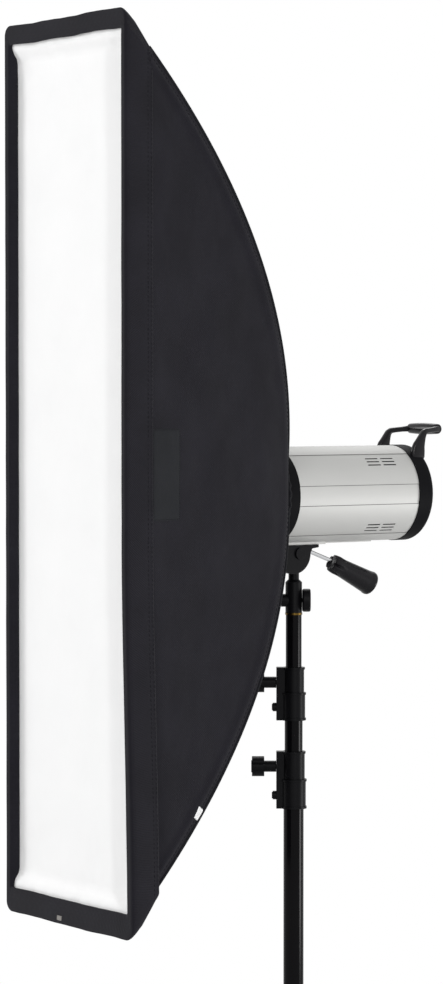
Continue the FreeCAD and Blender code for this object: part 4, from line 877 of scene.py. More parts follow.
# ---------------------------------------------------------------- softbox
@dataclass
class ClothForm:
    """Form that the four bent rods give the cloth: parabolas in side and plan view."""

    front_y: float
    centre_z: float
    axis_z: float
    half_h: float = 590 * MM
    back_w: float = 64.3 * MM
    flare_w: float = 84.3 * MM
    depth: float = 315 * MM
    band: float = 46 * MM
    tuck: float = 5 * MM
    sag: float = 5 * MM
    pocket: float = 3.0 * MM
    hole_r: float = 67.4 * MM

    def edge_depth(self, v: float) -> float:
        """Depth of the rod behind the front at a height from the middle."""
        return self.depth * (1 - (v / self.half_h) ** 2)

    def half_width(self, s: float) -> float:
        """Half width of the cloth at a depth behind the front."""
        return self.back_w + self.flare_w * math.sqrt(max(1 - s / self.depth, 0.0))

    @property
    def tip(self) -> float:
        """Height at which the rods pass under the front band."""
        return self.half_h * math.sqrt(1 - (self.band - self.tuck) / self.depth)

    def side_point(self, side: Side, v: float, s: float, lift: float = 0.0) -> Vector:
        """Place on a side panel, with its sag, rod pocket and creases.

        Args:
            side: Which panel.
            v: Height from the middle.
            s: Depth behind the front.
            lift: Distance above the cloth.

        Returns:
            The place.
        """
        edge = self.edge_depth(v)
        slope = 2 * self.depth * v / self.half_h ** 2
        off_rod = max(edge - s, 0.0) / math.sqrt(1 + slope * slope)
        share = min(max((s - self.band) / max(edge - self.band, 1e-6), 0.0), 1.0)
        sag = self.sag * math.sin(math.pi * share) * (edge - self.band) / self.depth
        pocket = self.pocket * math.exp(-((off_rod - 12 * MM) / (6 * MM)) ** 2)
        free = smooth_step(s, self.band, self.band + 0.03)
        calm = smooth_step(off_rod, 0, 25 * MM) * free
        wave = noise.noise(Vector((v * 7.0, s * 16.0, side.value * 2.7)))
        crease = noise.fractal(Vector((v * 24.0, s * 34.0, side.value * 5.1)), 0.9, 2.0, 3)
        beside = math.exp(-((off_rod - 30 * MM) / (22 * MM)) ** 2) * free
        pucker = noise.fractal(Vector((v * 30.0, s * 9.0, side.value * 8.3)), 0.8, 2.0, 2)
        out = pocket - sag + calm * (2.2 * MM * wave + 0.7 * MM * crease) + lift
        out += 1.5 * MM * beside * pucker
        root = math.sqrt(max(1 - s / self.depth, 1e-4))
        lean = self.flare_w / (2 * self.depth * root)
        norm = math.sqrt(1 + lean * lean)
        return Vector((side.value * (self.half_width(s) + out / norm),
                       self.front_y + s + out * lean / norm, self.centre_z + v))

    def end_point(self, end: End, v: float, across: float) -> Vector:
        """Place on a top or bottom panel.

        Args:
            end: Which panel.
            v: Distance from the middle, along the height.
            across: From -1 at the left rod to 1 at the right.

        Returns:
            The place.
        """
        s = self.edge_depth(v)
        x = across * self.half_width(s)
        z = self.centre_z + end.value * v
        from_hole = math.hypot(x, z - self.axis_z) - self.hole_r
        calm = smooth_step(from_hole, 0, 0.09) * (1 - across ** 6)
        wave = noise.noise(Vector((x * 15.0, v * 8.0, end.value * 4.3)))
        crease = noise.fractal(Vector((x * 40.0, v * 22.0, end.value * 1.7)), 0.9, 2.0, 3)
        inward = self.sag * (1 - across * across) * calm
        out = calm * (1.8 * MM * wave + 0.6 * MM * crease) - inward
        slope = 2 * self.depth * v / self.half_h ** 2
        norm = math.sqrt(1 + slope * slope)
        return Vector((x, self.front_y + s + out / norm, z + end.value * out * slope / norm))

    def ridge(self, side: Side, end: End, lift: float = 0.0, steps: int = 90) -> list[Vector]:
        """Line of a rod under the cloth, from the middle of the back to the band.

        Args:
            side: Left or right.
            end: Bottom or top.
            lift: Distance outside the ridge.
            steps: Steps along it.

        Returns:
            Places along the ridge.
        """
        line = []
        for i in range(steps + 1):
            v = self.tip * i / steps
            s = self.edge_depth(v)
            slope = 2 * self.depth * v / self.half_h ** 2
            norm = math.sqrt(1 + slope * slope)
            line.append(Vector((side.value * (self.half_width(s) + 0.7 * lift),
                                self.front_y + s + 0.7 * lift / norm,
                                self.centre_z + end.value * (v + 0.7 * lift * slope / norm))))
        return line


@dataclass
class SoftboxCloth:
    """Black cloth panels between the rods, with their seams, cuff and labels."""

    form: ClothForm
    growth: Growth
    cloth_t: float = 1.4 * MM
    rows: int = 190
    cols: int = 46
    welt_r: float = 2.0 * MM
    cuff_r: float = 4.2 * MM
    cuff_folds: int = 34

    def side_panel(self, side: Side) -> Obj:
        """Make a side panel.

        Args:
            side: Left or right.

        Returns:
            The panel.
        """
        form = self.form
        start = form.band - form.tuck

        def place(i: float, j: float) -> tuple[Vector, tuple[float, float]]:
            """Give one grid point and its flat place."""
            v = form.tip * (2 * i - 1)
            s = start + (form.edge_depth(v) - start) * j
            return form.side_point(side, v, s), (s, v)

        name = f"side_panel_{side.name.lower()}"
        obj = sheet_grid(name, self.rows, self.cols, place, BLACK_NYLON)
        close_sheet(obj, lambda p: Vector((side.value, 0, 0)), self.cloth_t)
        return declare(obj, "softbox", f"cloth_{side.name.lower()}")

    def end_panel(self, end: End) -> Obj:
        """Make the top or bottom panel, with its share of the round hole for the head.

        Args:
            end: Bottom or top.

        Returns:
            The panel.
        """
        form = self.form
        cell = form.tip / self.rows

        def place(i: float, j: float) -> tuple[Vector, tuple[float, float]]:
            """Give one grid point and its flat place."""
            v = form.tip * i
            point = form.end_point(end, v, 2 * j - 1)
            away = Vector((point.x, 0, point.z - form.axis_z))
            if form.hole_r - 2 * cell < away.length < form.hole_r:
                away *= form.hole_r / away.length
                point.x, point.z = away.x, form.axis_z + away.z
            return point, (point.x, v)

        def inside(p: Vector) -> bool:
            """Tell whether a point lies in the hole."""
            return math.hypot(p.x, p.z - form.axis_z) < form.hole_r - 0.2 * MM

        obj = sheet_grid(f"{end.name.lower()}_panel", self.rows, 60, place, BLACK_NYLON)
        close_sheet(obj, lambda p: Vector((0, 1, end.value * 0.3)), self.cloth_t, drop=inside)
        return declare(obj, "softbox", f"cloth_{end.name.lower()}")

    def seams(self) -> list[Obj]:
        """Sew the panels together over the rods.

        Returns:
            The welts and the stitches beside them.
        """
        form = self.form
        lines = [form.ridge(side, end) for side in Side for end in End]
        welts = self.growth.grow("rod_seam_welts", self.growth.welt, lines, False,
                                 SHADED_BLACK_BINDING, {"Radius": self.welt_r})
        rows = []
        for side in Side:
            for end in End:
                line = []
                for i in range(161):
                    v = form.tip * 0.985 * i / 160
                    slope = 2 * form.depth * v / form.half_h ** 2
                    s = form.edge_depth(v) - 6.5 * MM * math.sqrt(1 + slope * slope)
                    line.append(form.side_point(side, end.value * v, s, 0.3 * MM))
                rows.append(line)
        stitches = self.growth.grow("rod_seam_stitches", self.growth.stitch, rows, False,
                                    THREAD, SEAM_STITCH)
        for obj in (welts, stitches):
            declare(obj, "softbox")
        return [welts, stitches]

    def cuff(self) -> Obj:
        """Gather an elastic cuff round the head's collar.

        Returns:
            The cuff.
        """
        form = self.form
        y0 = form.front_y + form.depth
        verts, cut = [], []
        around, ring = 272, 14
        for i in range(around):
            a = 2 * math.pi * i / around
            drift = noise.noise(Vector((4 * math.cos(a), 4 * math.sin(a), 0)))
            fold = math.sin(self.cuff_folds * a + 1.5 * drift)
            for k in range(ring):
                b = 2 * math.pi * k / ring
                out = 0.5 + 0.5 * math.cos(b)
                r = (form.hole_r - 0.6 * MM
                     + self.cuff_r * (1 + math.cos(b)) * (1 + 0.16 * fold * out))
                y = y0 - 0.5 * MM + 0.75 * self.cuff_r * math.sin(b) * (1 + 0.12 * fold * out)
                verts.append(Vector((r * math.cos(a), y, form.axis_z + r * math.sin(a))))
                cut.append((a * form.hole_r, b * self.cuff_r))
        obj = piece("gathered_cuff", verts, ring_faces(around, ring), SHADED_BLACK_BINDING, cut)
        face_out(obj)
        shade(obj, 60)
        return declare(obj, "softbox")

    def label(self, name: str, side: Side, middle: tuple[float, float], size: tuple[float, float],
              turn: float, lift: float, finish: Cloth) -> Obj:
        """Lay a blank label on a side panel.

        Args:
            name: Name of the piece.
            side: Panel that takes it.
            middle: Depth behind the front, and height from the middle.
            size: Width and height.
            turn: Turn in the panel in degrees.
            lift: Height of its outer face over the cloth.
            finish: Cloth of the label.

        Returns:
            The label.
        """
        form = self.form
        c, n = math.cos(math.radians(turn)), math.sin(math.radians(turn))
        across, up = 14, max(14, int(size[1] / (3 * MM)))

        def place(i: float, j: float) -> tuple[Vector, tuple[float, float]]:
            """Give one grid point and its flat place."""
            a, b = (j - 0.5) * size[0], (i - 0.5) * size[1]
            rim = min(size[0] / 2 - abs(a), size[1] / 2 - abs(b))
            height = lift * smooth_step(rim, -0.4 * MM, 1.6 * MM) + 0.15 * MM
            s = middle[0] + a * c - b * n
            v = middle[1] + a * n + b * c
            return form.side_point(side, v, s, height), (a, b)

        obj = sheet_grid(name, up, across, place, finish)
        close_sheet(obj, lambda p: Vector((side.value, 0, 0)), 0.5 * MM)
        return declare(obj, "softbox")

    def label_stitches(self, side: Side, middle: tuple[float, float],
                       size: tuple[float, float]) -> Obj:
        """Sew round the big label.

        Args:
            side: Panel that takes it.
            middle: Depth behind the front, and height from the middle.
            size: Width and height of the stitched line.

        Returns:
            The stitches.
        """
        corners = [(-1, -1), (1, -1), (1, 1), (-1, 1)]
        line = []
        for k in range(4):
            (a, b), (c, d) = corners[k], corners[(k + 1) % 4]
            for i in range(24):
                t = i / 24
                s = middle[0] + (a + (c - a) * t) * size[0] / 2
                v = middle[1] + (b + (d - b) * t) * size[1] / 2
                line.append(self.form.side_point(side, v, s, 1.2 * MM))
        obj = self.growth.grow("label_stitches", self.growth.stitch, [line], True, THREAD,
                               LABEL_STITCH)
        return declare(obj, "softbox")

    def build(self) -> None:
        form = self.form
        panels = {side: self.side_panel(side) for side in Side}
        ends = {end: self.end_panel(end) for end in End}
        welts, stitches = self.seams()
        cuff = self.cuff()
        up = form.axis_z - form.centre_z
        label = self.label("side_label", Side.RIGHT, (70.5 * MM, up + 36 * MM), (50 * MM, 120 * MM),
                           0, 0.8 * MM, LABEL_SATIN)
        sewn = self.label_stitches(Side.RIGHT, (70.5 * MM, up + 36 * MM), (47 * MM, 117 * MM))
        tag = self.label("care_tag", Side.RIGHT, (126.5 * MM, up - 411.5 * MM), (13 * MM, 17 * MM),
                         -32, 0.7 * MM, WHITE_TAG)
        LOG.info("cloth panels, seams, cuff and labels made")


@dataclass
class SoftboxFront:
    """Front band with its turned-in lip, and the white cloths."""

    form: ClothForm
    growth: Growth
    half_w: float = 150 * MM
    half_h: float = 602 * MM
    corner_r: float = 11 * MM
    lip_w: float = 12 * MM
    lip_h: float = 27 * MM
    shallow: float = 5 * MM
    deep: float = 14 * MM
    turn_h: float = 26 * MM
    baffle_gap: float = 11 * MM
    far_bulge: float = 4.5 * MM
    near_bulge: float = 16 * MM
    lip_raise: float = 4.5 * MM
    foot_drop: float = 2.5 * MM
    corner_puff: float = 5.5 * MM
    corner_steps: int = 9
    long_steps: int = 150
    short_steps: int = 44

    def outline(self, w: float, h: float, r: float) -> list[tuple[float, float]]:
        """Rounded rectangle with a fixed number of points.

        Args:
            w: Half width.
            h: Half height.
            r: Corner radius.

        Returns:
            Points about the middle.
        """
        corners = ((1, 1, 0), (-1, 1, 90), (-1, -1, 180), (1, -1, 270))
        points: list[tuple[float, float]] = []
        for k, (sx, sz, start) in enumerate(corners):
            for i in range(self.corner_steps + 1):
                a = math.radians(start + 90 * i / self.corner_steps)
                points.append((sx * (w - r) + r * math.cos(a), sz * (h - r) + r * math.sin(a)))
            nx, nz, begin = corners[(k + 1) % 4]
            a = math.radians(begin)
            last = points[-1]
            goal = (nx * (w - r) + r * math.cos(a), nz * (h - r) + r * math.sin(a))
            steps = self.short_steps if k % 2 == 0 else self.long_steps
            for i in range(1, steps):
                t = i / steps
                points.append((last[0] + (goal[0] - last[0]) * t,
                               last[1] + (goal[1] - last[1]) * t))
        return points

    def recess(self, z: float) -> float:
        """Depth of the white cloth behind the front at a height from the middle."""
        mouth = self.half_h - self.lip_h - (self.lip_raise if z < 0 else 0.0)
        share = smooth_step(mouth - abs(z), 6 * MM, self.turn_h)
        return self.shallow + (self.deep - self.shallow) * share

    def bulge(self, x: float, z: float) -> float:
        """Sideways give of the soft front, most at the lower right corner.

        Args:
            x: Distance from the middle, to the right.
            z: Distance from the middle, upwards.

        Returns:
            Shift to the right.
        """
        share = x / self.half_w
        if share < 0:
            return self.far_bulge * share ** 3
        return self.near_bulge * share ** 3 * smooth_step(-z / self.half_h, 0.1, 1.0)

    def sizes(self, depth: float) -> tuple[float, float]:
        """Outer half width and half height of the band at a depth.

        Args:
            depth: Distance behind the front.

        Returns:
            Half width and half height.
        """
        share = math.sqrt(1 - self.form.band / self.form.depth)
        rear_w = self.form.back_w + self.form.flare_w * share + 2.5 * MM
        rear_h = self.form.half_h * share + 2.5 * MM
        t = depth / self.form.band
        return self.half_w + (rear_w - self.half_w) * t, self.half_h + (rear_h - self.half_h) * t

    def band(self) -> Obj:
        """Make the band, its front roll and its lip.

        Returns:
            The band.
        """
        form = self.form
        # depth, share of the lip's width, further inset, corner radius
        lines = [(46.6, 0, 2.4, 3), (46.3, 0, 1.2, 3.5), (45.2, 0, 0.7, 4), (42.5, 0, 0.5, 4.5),
                 (40.4, 0, 0.6, 5), (38.6, 0, 0.3, 6), (30, 0, 0.0, 8), (18, 0, -0.2, 11),
                 (9, 0, 0, 14), (4, 0, 0.3, 15), (1.6, 0, 1.2, 14.5), (0.4, 0, 2.8, 13.5),
                 (0, 0, 5.0, 11), (0.5, 0.6, 0, 6), (0.3, 0.8, 0, 5), (0.5, 0.93, 0, 4.5),
                 (1.6, 1, 0, 4)]
        verts, cut = [], []
        rings = lines + [(-1, 1, 0, 4), (-2, 0.5, 0, 6)]
        around = [0.0]
        rim = self.outline(self.half_w, self.half_h, self.corner_r)
        for (x0, z0), (x1, z1) in zip(rim[:-1], rim[1:]):
            around.append(around[-1] + math.hypot(x1 - x0, z1 - z0))
        along, last = 0.0, (0.0, 0.0)
        for row, (depth, lip, inset, radius) in enumerate(rings):
            d = max(depth, 0) * MM
            w, h = self.sizes(d if depth >= 0 else self.deep)
            if depth < 0:
                w, h = self.half_w - 1.5 * MM, self.half_h - 1.5 * MM
            w -= lip * self.lip_w + inset * MM
            h -= lip * self.lip_h + inset * MM
            along += math.hypot(d - last[0], w - last[1]) if row else 0.0
            last = (d, w)
            for k, (x, z) in enumerate(self.outline(w, h, radius * MM)):
                wave = noise.noise(Vector((x * 17.0, z * 9.0, 1.3)))
                ripple = noise.noise(Vector((x * 45.0, z * 30.0, d * 30)))
                ease = smooth_step(self.half_w - abs(x), 0, 0.04) * smooth_step(abs(z), 0.5, 0.55)
                z += ease * (1.6 * MM * wave + 0.5 * MM * ripple)
                ease = smooth_step(self.half_h - abs(z), 0, 0.10)
                x -= math.copysign(ease * 0.9 * MM * wave, x)
                x += self.bulge(x, z)
                foot = smooth_step(-z / self.half_h, 0.8, 0.94)
                drop = self.foot_drop * (1 - lip) * (1 - d / form.band)
                z += foot * (self.lip_raise * lip - drop)
                puff = math.sin(math.pi * min(d / form.band, 1))
                puff *= smooth_step(x / self.half_w, 0.3, 1)
                puff *= self.corner_puff
                z += math.copysign(puff * smooth_step(abs(z) / self.half_h, 0.9, 1), z)
                back = d
                if depth == -1:
                    back = self.recess(z)
                if depth == -2:
                    back = self.recess(z) + 1.6 * MM
                verts.append(Vector((x, self.form.front_y + back, self.form.centre_z + z)))
                cut.append((around[k], along))
        count = len(verts) // len(rings)
        obj = piece("front_band", verts, strip_faces(len(rings), count), BLACK_NYLON, cut)
        middle = Vector((0, 0, self.form.centre_z))

        def outward(p: Vector) -> Vector:
            """Point out of the band and forward."""
            away = p - middle
            return Vector((away.x, -0.2, away.z))

        close_sheet(obj, outward, 0.9 * MM, 55)
        return declare(obj, "softbox", "front_hem")

    def band_stitches(self) -> Obj:
        """Sew two rows round the rear of the band.

        Returns:
            The stitches.
        """
        rows = []
        for depth in (43.6 * MM, 37.4 * MM):
            w, h = self.sizes(depth)
            rows.append([Vector((x + self.bulge(x, z), self.form.front_y + depth,
                                 self.form.centre_z + z))
                         for x, z in self.outline(w + 0.1 * MM, h + 0.1 * MM, 11 * MM)])
        obj = self.growth.grow("band_stitches", self.growth.stitch, rows, True, THREAD,
                               BAND_STITCH)
        return declare(obj, "softbox")

    def diffuser(self) -> Obj:
        """Stretch the white cloth behind the lip.

        Returns:
            The diffuser.
        """
        form = self.form
        w = self.half_w - self.lip_w + 5 * MM
        h = self.half_h - self.lip_h + 6 * MM

        def place(i: float, j: float) -> tuple[Vector, tuple[float, float]]:
            """Give one grid point and its flat place."""
            x, z = w * (2 * j - 1), h * (2 * i - 1)
            to_end, to_side = h - abs(z), w - abs(x)
            y = self.recess(z) + 0.9 * MM
            calm = smooth_step(min(to_end, to_side), 4 * MM, 60 * MM)
            y -= 1.5 * MM * calm
            pleat = math.sin(x * 2 * math.pi / 0.034 + 4 * noise.noise(Vector((x * 14, z * 3, 0))))
            ragged = 0.5 + noise.noise(Vector((x * 20, 0, 3)))
            y += (1.6 * MM * ragged * pleat * math.exp(-to_end / 0.035)
                  * smooth_step(to_end, 2 * MM, 12 * MM))
            corner = math.exp(-math.hypot(to_end, to_side) / 0.05)
            corner *= smooth_step(to_end, 2 * MM, 16 * MM)
            fold = noise.fractal(Vector((x * 42.0, z * 34.0, 2.0)), 1.0, 2.0, 3)
            drift = noise.noise(Vector((x * 12, z * 5, 7)))
            y += 3.2 * MM * corner * fold + 0.7 * MM * calm * drift
            shift = self.bulge(x, z) if x > 0 else 0.0
            return Vector((x + shift, form.front_y + y, form.centre_z + z)), (x, z)

        obj = sheet_grid("front_diffuser_cloth", 230, 60, place, WHITE_DIFFUSER)
        close_sheet(obj, lambda p: Vector((0, -1, 0)), 0.6 * MM)
        return declare(obj, "softbox", "front_diffuser")

    def baffle(self) -> Obj:
        """Hang the inner white cloth between the rods.

        Returns:
            The inner baffle.
        """
        form = self.form
        low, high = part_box("inner_baffle")
        half_w, half_h = (high.x - low.x) / 2, (high.z - low.z) / 2
        y = (low.y + high.y) / 2
        bite = 32 * MM

        def place(i: float, j: float) -> tuple[Vector, tuple[float, float]]:
            """Give one grid point and its flat place."""
            a, b = 2 * j - 1, 2 * i - 1
            x, z = a * half_w, b * half_h
            scoop = bite * smooth_step(abs(b), 1 - 2.5 * bite / half_h, 1.0)
            x = a * (half_w - self.baffle_gap - scoop)
            sag = 5 * MM * (1 - a * a) * (1 - b * b)
            return Vector((x, y + sag - 2.5 * MM, form.centre_z + z * 0.995)), (x, z)

        obj = sheet_grid("inner_baffle_cloth", 90, 20, place, WHITE_DIFFUSER)
        close_sheet(obj, lambda p: Vector((0, -1, 0)), 0.6 * MM)
        declare(obj, "softbox", "inner_baffle")
        return obj

    def size_tag(self) -> Obj:
        """Sew the small grey tag into the lower lip.

        Returns:
            The tag.
        """
        form = self.form
        z0 = form.centre_z - self.half_h

        def place(i: float, j: float) -> tuple[Vector, tuple[float, float]]:
            """Give one grid point and its flat place."""
            x = -21 * MM + 11 * MM * j + 1.5 * MM * i
            z = z0 + 2.2 * MM + 9 * MM * i
            y = form.front_y - 0.2 * MM + 2.2 * MM * (1 - smooth_step(i, 0, 0.4))
            return Vector((x, y - 0.3 * MM * math.sin(math.pi * j), z)), (x, z)

        obj = sheet_grid("size_tag", 12, 12, place, GREY_TAG)
        close_sheet(obj, lambda p: Vector((0, -1, 0)), 0.4 * MM)
        return declare(obj, "softbox")

    def build(self) -> None:
        """Make the front and declare its cloth."""
        band = self.band()
        stitches = self.band_stitches()
        tag = self.size_tag()
        diffuser = self.diffuser()
        self.baffle()
        LOG.info("front band, diffuser and baffle made")


# ---------------------------------------------------------------- head
@dataclass
class HeadDetails:
    """Parts of the flash head: handle, grip sleeve, painted-shade sleeve behind the vents, lever
    grip, screws, dial marks.
    """

    growth: Growth
    bar_r: float = 6.0 * MM
    grip_r: float = 7.6 * MM
    grip_l: float = 64 * MM
    screw_r: float = 2.6 * MM
    case_wall: float = 3.0 * MM
    lever_root_r: float = 12.5 * MM
    lever_end_r: float = 17 * MM
    crown_l: float = 15 * MM

    def handle(self) -> Obj:
        """Mould the carrying handle's arms, which stand on the cap and lean back to the grip.

        Returns:
            Both arms.
        """
        cap_low, cap_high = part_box("rear_cap")
        axis_z, rear = (cap_low.z + cap_high.z) / 2, cap_high.y
        # across, behind the cap's rear face, above the axis, half thickness, half depth
        path = [(40.6, -12, 46, 4.4, 8.0), (40.6, -10.5, 52, 4.6, 11.5),
                (40.6, -9.6, 60, 4.6, 11.0), (40.6, -7.8, 67, 4.5, 9.2),
                (40.6, -5, 73, 4.4, 7.0), (40.6, -2.3, 79, 4.3, 5.3),
                (40.5, 0.2, 83.6, 4.2, 4.4), (39.6, 4.0, 86.6, 4.0, 3.9),
                (37.8, 10, 87.4, 3.9, 3.6), (34.8, 20, 88.4, 3.9, 3.6),
                (32.2, 28.5, 89.2, 4.2, 4.2), (30.4, 33, 89.5, 4.0, 4.6)]
        steps = 24
        verts, faces = [], []
        for side in Side:
            first = len(verts)
            places = [Vector((side.value * x * MM, rear + y * MM, axis_z + z * MM))
                      for x, y, z, _, _ in path]
            for i, place in enumerate(places):
                way = (places[min(i + 1, len(path) - 1)] - places[max(i - 1, 0)]).normalized()
                deep = way.cross(Vector((1, 0, 0))).normalized()
                wide = deep.cross(way)
                for k in range(steps):
                    a = 2 * math.pi * k / steps
                    c, d = math.cos(a), math.sin(a)
                    across = math.copysign(abs(c) ** 0.6, c) * path[i][3] * MM
                    along = math.copysign(abs(d) ** 0.6, d) * path[i][4] * MM
                    verts.append(place + wide * across + deep * along)
            faces += strip_faces(len(path), steps, first)
            faces.append(tuple(range(first, first + steps)))
            faces.append(tuple(range(first + (len(path) - 1) * steps, first + len(path) * steps)))
        obj = piece("handle_moulding", verts, faces, GLOSS_BLACK)
        face_out(obj)
        shade(obj, 50)
        return declare(obj, "head", "handle")

    def grip(self) -> Obj:
        """Fit the polished sleeve on the handle's round bar.

        Returns:
            The sleeve.
        """
        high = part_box("handle")[1]
        centre = Vector((0, high.y - self.bar_r, high.z - self.bar_r))
        half = self.grip_l / 2
        profile = [(-half, 0.0), (-half, self.bar_r + 0.3 * MM)]
        for i in range(13):
            t = -1 + 2 * i / 12
            swell = (self.grip_r - self.bar_r) * math.cos(t * 1.25)
            profile.append((half * 0.97 * t, self.bar_r + 0.5 * MM + swell))
        profile += [(half, self.bar_r + 0.3 * MM), (half, 0.0)]
        obj = lathe("handle_grip_sleeve", centre, Vector((1, 0, 0)), profile, GLOSS_BLACK)
        return declare(obj, "head")

    def vent_shade_sleeve(self) -> Obj:
        """Put a black sleeve inside the case behind its vent slots, a dark sheet that stands for
        the shade there.

        Returns:
            The sleeve.
        """
        low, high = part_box("body_shell")
        inner = (high.x - low.x) / 2 - self.case_wall
        start, end = high.y - 84 * MM, high.y - 26 * MM
        profile = [(start, inner - 0.6 * MM), (start, inner - 0.2 * MM), (end, inner - 0.2 * MM),
                   (end, inner - 0.6 * MM), (start, inner - 0.6 * MM)]
        centre = Vector((0, 0, (low.z + high.z) / 2))
        # Painted shade: a black sleeve where the inside of the case lies in shade behind the vents.
        obj = tube("case_liner", centre, profile, MATT_BLACK)
        return declare(obj, "head")

    def lever(self) -> Obj:
        """Mould the tilt lever's grip: scalloped crown, flaring body and rimmed, hollow end.

        Returns:
            The grip.
        """
        rod_low, rod_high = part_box("lever_rod")
        low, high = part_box("lever_grip")
        axis = Vector((0, rod_high.y - rod_low.y, rod_low.z - rod_high.z)).normalized()
        root = Vector((0, rod_high.y, rod_low.z))
        reach = (Vector((0, high.y, low.z)) - root).dot(axis)
        r0, r1, crown = self.lever_root_r, self.lever_end_r, self.crown_l
        profile = [(3 * MM, 0.0), (3 * MM, 0.35 * r0), (0.6 * MM, 0.62 * r0), (0.0, 0.82 * r0),
                   (0.8 * MM, 0.94 * r0), (3 * MM, r0), (0.6 * crown, r0 + 0.6 * MM),
                   (crown, r0 + 0.3 * MM)]
        for i in range(1, 13):
            t = i / 12
            flare = (r1 - 0.8 * MM - r0) * t ** 1.1
            profile.append((crown + (reach - 12 * MM - crown) * t, r0 + flare))
        end = reach - 6 * MM
        profile += [(end - 3 * MM, r1 - 0.1 * MM), (end - 1 * MM, r1),
                    (end + 0.6 * MM, r1 - 0.5 * MM), (end + 1.2 * MM, r1 - 1.8 * MM),
                    (end + 0.8 * MM, r1 - 3 * MM),
                    (end - 0.8 * MM, r1 - 4.5 * MM), (end - 1 * MM, 0.0)]

        def scallops(along: float, radius: float, angle: float) -> float:
            """Cut six round scallops into the crown."""
            cut = max(math.cos(6 * angle), 0.0) ** 2
            fade = 1 - smooth_step(along, 0.55 * crown, crown)
            return -0.30 * radius * cut * fade * smooth_step(radius, 0.5 * r0, 0.9 * r0)

        obj = lathe("lever_grip_moulding", root, axis, profile, LEVER_BLACK, 96, scallops)
        return declare(obj, "lever", "lever_grip")

    def screws(self) -> Obj:
        """Put the screws on the rear panel.

        Returns:
            The screws.
        """
        low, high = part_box("rear_panel")
        centre = (low + high) / 2
        head = lathe("screw_template", Vector((0, 0, 0)), Vector((0, 1, 0)),
                     [(-0.2 * MM, 0), (-0.2 * MM, self.screw_r), (0.6 * MM, self.screw_r),
                      (1.3 * MM, 0.72 * self.screw_r), (1.5 * MM, 0.3 * self.screw_r),
                      (0.9 * MM, 0)], STEEL, 16)
        radius = 0.43 * (high.x - low.x)
        turns = [math.radians(a) for a in (8, 82, 98, 172, 225, 315)]
        spots = [(centre.x + radius * math.cos(a), high.y, centre.z + radius * math.sin(a))
                 for a in turns]
        obj = self.growth.run("rear_panel_screws", self.growth.studs, spots, [], STEEL,
                              {"Part": head})
        bpy.data.objects.remove(head)
        return declare(obj, "head")

    def dial_marks(self, dial: str) -> Obj:
        """Print a ring of marks round a dial.

        Args:
            dial: Node of the dial.

        Returns:
            The marks.
        """
        low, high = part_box(dial)
        centre = (low + high) / 2
        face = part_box("rear_panel")[1].y
        verts, faces = [], []
        for k in range(11):
            a = math.radians(225 - 27 * k)
            long = 2.6 * MM if k % 5 == 0 else 1.7 * MM
            out = Vector((math.cos(a), 0, math.sin(a)))
            wide = Vector((-math.sin(a), 0, math.cos(a))) * 0.3 * MM
            base = Vector((centre.x, 0, centre.z)) + out * ((high.x - low.x) / 2 + 1.2 * MM)
            tip = base + out * long
            first = len(verts)
            for y in (face - 0.1 * MM, face + 0.12 * MM):
                for p in (base - wide, base + wide, tip + wide, tip - wide):
                    verts.append(Vector((p.x, y, p.z)))
            f = first
            faces += [(f, f + 1, f + 2, f + 3), (f + 7, f + 6, f + 5, f + 4)]
            faces += [(f + i, f + 4 + i, f + 4 + (i + 1) % 4, f + (i + 1) % 4) for i in range(4)]
        obj = piece(f"{dial}_marks", verts, faces, WHITE_PRINT)
        face_out(obj)
        return declare(obj, "head")

    def build(self) -> None:
        """Make the head's small parts."""
        self.handle()
        self.grip()
        self.lever()
        self.vent_shade_sleeve()
        self.screws()
        for dial in ("power_dial", "lamp_dial"):
            self.dial_marks(dial)
        LOG.info("head details made")


def dress_nodes() -> None:
    """Give every carried-over CAD node its finish."""
    for finish, names in NODE_FINISHES.items():
        for name in names:
            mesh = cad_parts[name].data
            mesh.materials.clear()
            mesh.materials.append(MATERIALS.get(finish))
    LOG.info("CAD nodes dressed")


